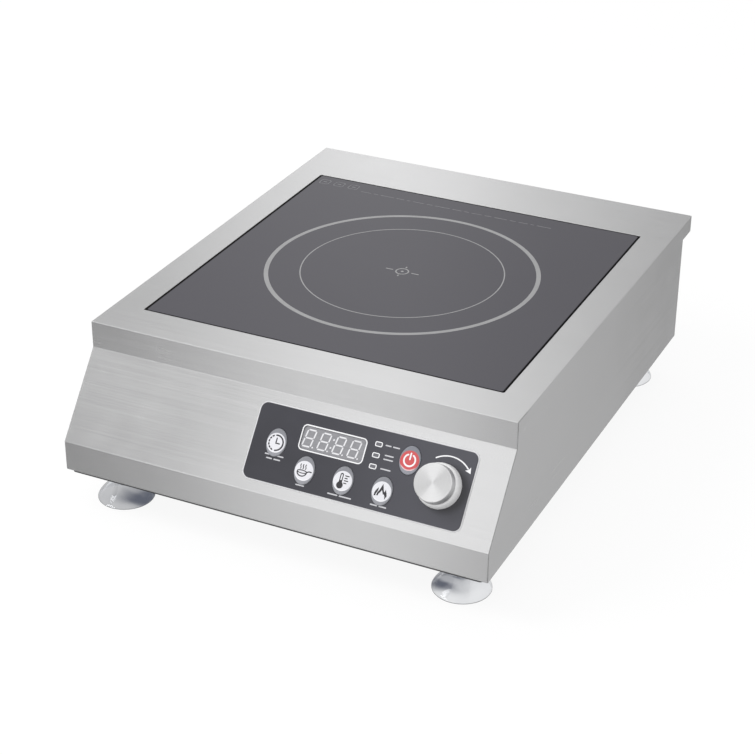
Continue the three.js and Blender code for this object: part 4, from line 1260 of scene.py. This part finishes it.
def blade_section(k):
    """Cambered section, upper side then lower side, wrapped round the axis at its radius."""
    r = BLADE_R0 + (BLADE_R1 - BLADE_R0) * k / 8
    pitch = math.radians(52 - 20 * k / 8)
    chord = 15 + 8 * k / 8
    sweep = math.radians(8 * k / 8)
    loop = []
    for side, steps in ((1, range(9)), (-1, range(8, -1, -1))):
        for q in steps:
            s = (q / 8 - 0.5) * chord
            bulge = 1 - (2 * q / 8 - 1) ** 2
            h = 1.7 * bulge + side * (0.85 * math.sqrt(max(0.0, bulge)) + 0.28)
            across = s * math.cos(pitch) - h * math.sin(pitch)
            rise = s * math.sin(pitch) + h * math.cos(pitch)
            a = sweep + across / r
            z = max(FAN_Z0 + 5.6, min(FAN_Z1 - 1.0, FAN_Z0 + 14.8 + rise))
            loop.append((r * math.cos(a), r * math.sin(a), z))
    return loop


rotor = build("fan_impeller", [lathe(HUB, 48)], [BLACK],
              Matrix.Translation((FAN_X * MM, FAN_Y * MM, 0)))
blade = loft([blade_section(k) for k in range(9)])
for i in range(BLADES):
    join(rotor, moved(blade, Matrix.Rotation(2 * math.pi * i / BLADES, 4, "Z")))
tidy(rotor)
finish(rotor, "black_plastic", "fan_rotor", body="fan_rotor")

# ------------------------------------------------------------------ pieces kept from the CAD
# name: material, slot, bevel width
CARRIED = {
    "glass_support_frame": (STEEL_IN, "steel_inner", 0.15),
    "control_bracket": (STEEL_IN, "steel_inner", 0.15),
    "display_module": (BLACK, "black_plastic", 0.5),
    "control_board": (BOARD, "board_green", 0.2),
    "power_board": (BOARD, "board_green", 0.2),
    "coil_carrier": (BLACK, "black_plastic", 0),
    "thermal_sensor": (CERAMIC, "sensor_ceramic", 0.3),
    "sensor_spring": (ZINC, "zinc_plated", 0),
    "heatsink": (ALU, "heatsink_aluminium", 0),
    "power_transistor": (BLACK, "black_plastic", 0.3),
    "bridge_rectifier": (BLACK, "black_plastic", 0.3),
    "resonance_capacitor": (YELLOW, "capacitor_yellow", 1.6),
    "filter_capacitor": (BLUE, "capacitor_blue", 1.6),
    "emi_choke": (COPPER, "copper_wire", 0),
    "fan_frame": (BLACK, "black_plastic", 0.5),
    "mains_lead": (CABLE_BLACK, "cable_black", 0),
    "coil_lead_a": (LEAD_RED, "lead_red", 0),
    "coil_lead_b": (LEAD_RED, "lead_red", 0),
    "ribbon_cable": (CABLE_GREY, "cable_grey", 0),
    "encoder_shaft": (ZINC, "zinc_plated", 0.15),
    "encoder_body": (ZINC, "zinc_plated", 0.2),
    "encoder_nut": (ZINC, "zinc_plated", 0.3),
}
CARRIED.update({"ferrite_bar_%d" % k: (FERRITE, "ferrite", 0.8) for k in range(1, 5)})
CARRIED.update({"switch_" + key: (BLACK, "black_plastic", 0.25) for key in KEYS})
CARRIED.update({"indicator_" + lamp: (LENS, "lamp_lens", 0.25) for lamp in LAMPS})
for name, (mat, slot, bevel) in CARRIED.items():
    ob = nodes[name]
    ob.data.materials.clear()
    ob.data.materials.append(mat)
    ob.data.polygons.foreach_set("material_index", [0] * len(ob.data.polygons))
    smooth(ob)
    ob.modifiers.new("weld", "WELD").merge_threshold = 1e-6
    if bevel:
        bevel_edges(ob, bevel, seg=2, angle=50)
    weight_normals(ob)

# ------------------------------------------------------------------ floor
# Brightness seen in reflections by compass angle: degrees, value
FLOOR_SHEEN = [
    (-180, 0.460), (-166, 0.440), (-160, 0.210), (-158, 0.737), (-156, 0.877), (-154, 1.157),
    (-152, 1.125), (-150, 0.676), (-148, 0.433), (-146, 0.254), (-144, 0.212), (-136, 0.360),
    (-90, 0.420), (-30, 0.500), (0, 0.500), (12, 0.483), (12, 0.483), (14, 0.050),
    (15.5, 0.050), (17, 0.088), (18.5, 0.340), (20, 0.787), (21.5, 0.899), (23, 0.911),
    (32, 0.500), (60, 0.360), (90, 0.500), (180, 0.460)]
WORLD_SHEEN = [
    (-180, 0.800), (-158, 0.850), (-156, 0.994), (-154, 1.240), (-152, 1.240), (-150, 1.240),
    (-148, 0.809), (-146, 0.579), (-144, 0.152), (-142, 0.050), (-140, 0.050), (-134, 0.720),
    (-118, 1.150), (-90, 0.620), (-58, 0.920), (-42, 0.900), (-36, 0.268), (-34, 0.462),
    (-32, 0.691), (-30, 0.906), (-28, 1.080), (-26, 1.203), (-24, 1.199), (-22, 0.832),
    (-20, 0.607), (-18, 0.609), (-16, 0.494), (-14, 0.469), (-8, 0.500), (30, 0.600),
    (100, 1.100), (180, 0.800)]


def studio_floor():
    """White to the camera, with its own brightness for reflected and refracted rays."""
    m = Mat("studio_floor", "MixShader")
    rays = m.node("LightPath").outputs
    camera, through, glossy = (rays[kind] for kind in (
        "Is Camera Ray", "Is Transmission Ray", "Is Glossy Ray"))
    x, y, _ = m.xyz(m.tex())
    in_x, in_y, _ = m.xyz(m.node("NewGeometry").outputs["Incoming"])
    sheen = m.by_azimuth(m.mul(in_x, -1.0), m.mul(in_y, -1.0), FLOOR_SHEEN)
    x_share = 0.5                             # the bounce light falls off along y and half of x
    dim = m.remap(m.add(m.mul(x, x_share), y), span=(-0.6, 0.6), to=(0.60, 0.46))
    diffuse = m.fill(m.node("BsdfDiffuse"),
                     m.mix_colour(camera, m.grey(dim), (0.93, 0.93, 0.935)))
    # painted shadow under the hob, seen through the feet
    shadow_under_hob = m.mul(m.mul(m.remap(x, span=(0.121, 0.147), to=(1.0, 0.0), smooth=True),
                        m.remap(x, span=(-0.150, -0.124), smooth=True)),
                  m.mul(m.remap(y, span=(-0.194, -0.182), smooth=True),
                        m.remap(y, span=(0.150, 0.185), to=(1.0, 0.0), smooth=True)))
    patch = m.noise(scale=48.0, detail=1.0, rough=0.4)
    shadow_under_hob = m.mul(shadow_under_hob, m.remap(patch, span=(0.42, 0.58), to=(0.55, 1.0), smooth=True))
    # painted shade: outside the shadow, the floor seen through the feet darkens toward the left
    painted_floor_shade = m.mix_colour(m.remap(x, span=(-0.12, 0.08), smooth=True),
                        (0.56, 0.56, 0.565), (0.86, 0.86, 0.862))
    glow = m.mix_colour(through, m.mix_colour(glossy, (1.0, 1.0, 1.0), m.grey(sheen)),
                        m.mix_colour(shadow_under_hob, painted_floor_shade, (0.12, 0.13, 0.165)))
    emission = m.fill(m.node("Emission"), glow)
    camera_glow = 0.9
    glowing = m.math("MAXIMUM", m.mul(camera, camera_glow), m.math("MAXIMUM", through, glossy))
    m.fill(m.shader, glowing, diffuse.outputs[0], emission.outputs[0])
    m.material.cycles.emission_sampling = "NONE"
    return m.material


FLOOR_HALF = 9000
build("studio_floor", [box(-FLOOR_HALF, FLOOR_HALF, -FLOOR_HALF, FLOOR_HALF,
                                    -20, -0.02)], [studio_floor()])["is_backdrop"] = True

# ------------------------------------------------------------------ world
# direction, outer and inner angle in degrees, strength
SOFTBOXES = [((0.10, -0.72, 0.62), 62, 6, 0.60),     # large front softbox
             ((-0.38, 0.12, 0.92), 42, 8, 0.55),     # overhead
             ((-0.45, 0.80, 0.42), 60, 5, 0.34)]     # back fill
REFLECTED = [((-0.518, -0.168, 0.839), 27, 6, 0.8),  # seen in reflections only
             ((-0.137, -0.978, 0.156), 24, 6, 0.5)]


def studio_world():
    world = bpy.data.worlds.new("studio")
    scene.world = world
    world.use_nodes = True
    m = Nodes(world.node_tree)
    background = m.node("Background")
    m.fill(m.node("OutputWorld"), background.outputs[0])
    ray = m.vec("NORMALIZE", m.tex("Generated"))
    x, y, z = m.xyz(ray)

    def lobe(direction, outer, inner, strength):
        dot = m.vec("DOT_PRODUCT", ray, tuple(Vector(direction).normalized()))
        span = (math.cos(math.radians(outer)), math.cos(math.radians(inner)))
        return m.mul(m.remap(dot, span=span, smooth=True), strength)

    light = m.add(m.remap(z, span=(-0.2, 0.9), to=(0.50, 0.62)),
                  *[lobe(*box_) for box_ in SOFTBOXES])
    sheen = m.add(m.by_azimuth(x, y, WORLD_SHEEN), m.add(*[lobe(*box_) for box_ in REFLECTED]))
    rays = m.node("LightPath").outputs
    glossy = rays["Is Glossy Ray"]
    light = m.add(m.mul(light, m.math("SUBTRACT", 1.0, glossy)), m.mul(sheen, glossy))
    colour = m.mix_colour(rays["Is Transmission Ray"], m.grey(light), (0.80, 0.81, 0.83))
    colour = m.mix_colour(rays["Is Camera Ray"], colour, (1.0, 1.0, 1.0))
    m.put(background.inputs[0], colour)
    world.cycles.sampling_method = "NONE"


studio_world()


# ------------------------------------------------------------------ light and camera (metres)
def area_light(name, loc, target, size, power):
    data = bpy.data.lights.new(name, "AREA")
    data.shape, data.size, data.energy = "DISK", size, power
    light = bpy.data.objects.new(name, data)
    scene.collection.objects.link(light)
    light.location = loc
    light.rotation_mode = "QUATERNION"
    light.rotation_quaternion = (Vector(loc) - Vector(target)).to_track_quat("Z", "Y")
    light.visible_glossy = False
    light.visible_camera = False


def aim_camera(target, distance, azimuth, elevation, roll, lens):
    """Camera that looks at target; azimuth turns from the front (-Y) toward +X, degrees."""
    az, el, roll = (math.radians(a) for a in (azimuth, elevation, roll))
    back = Vector((math.sin(az) * math.cos(el), -math.cos(az) * math.cos(el), math.sin(el)))
    pos = Vector(target) + back * distance
    level = (-back).cross(Vector((0, 0, 1))).normalized()
    upward = level.cross(-back)
    right = level * math.cos(roll) + upward * math.sin(roll)
    up = -level * math.sin(roll) + upward * math.cos(roll)
    data = bpy.data.cameras.new("camera")
    camera = bpy.data.objects.new("camera", data)
    scene.collection.objects.link(camera)
    data.sensor_width, data.lens = 36.0, lens
    data.clip_start, data.clip_end = 0.01, 100
    rows = [(right[i], up[i], back[i], pos[i]) for i in range(3)]
    camera.matrix_world = Matrix((*rows, (0, 0, 0, 1)))
    scene.camera = camera


area_light("key_light", loc=(-1.15, -0.75, 1.5), target=(0, 0, 0.08), size=1.0, power=16)
aim_camera(target=(0.015573, -0.06506, 0.079055), distance=1.41628, azimuth=25.4881,
           elevation=28.6395, roll=0.3389, lens=91.897)
scene.view_settings.view_transform = "Standard"
scene.view_settings.look = "None"

# the controls do not mirror in the steel around them
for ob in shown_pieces():
    if ob.name.startswith(("display_", "panel_", "keycap_", "symbol_", "knob_cap")):
        ob.visible_glossy = False
for name in ("encoder_shaft", "encoder_nut", "encoder_body"):
    nodes[name].visible_glossy = False

# ------------------------------------------------------------------ update
bpy.context.view_layer.update()
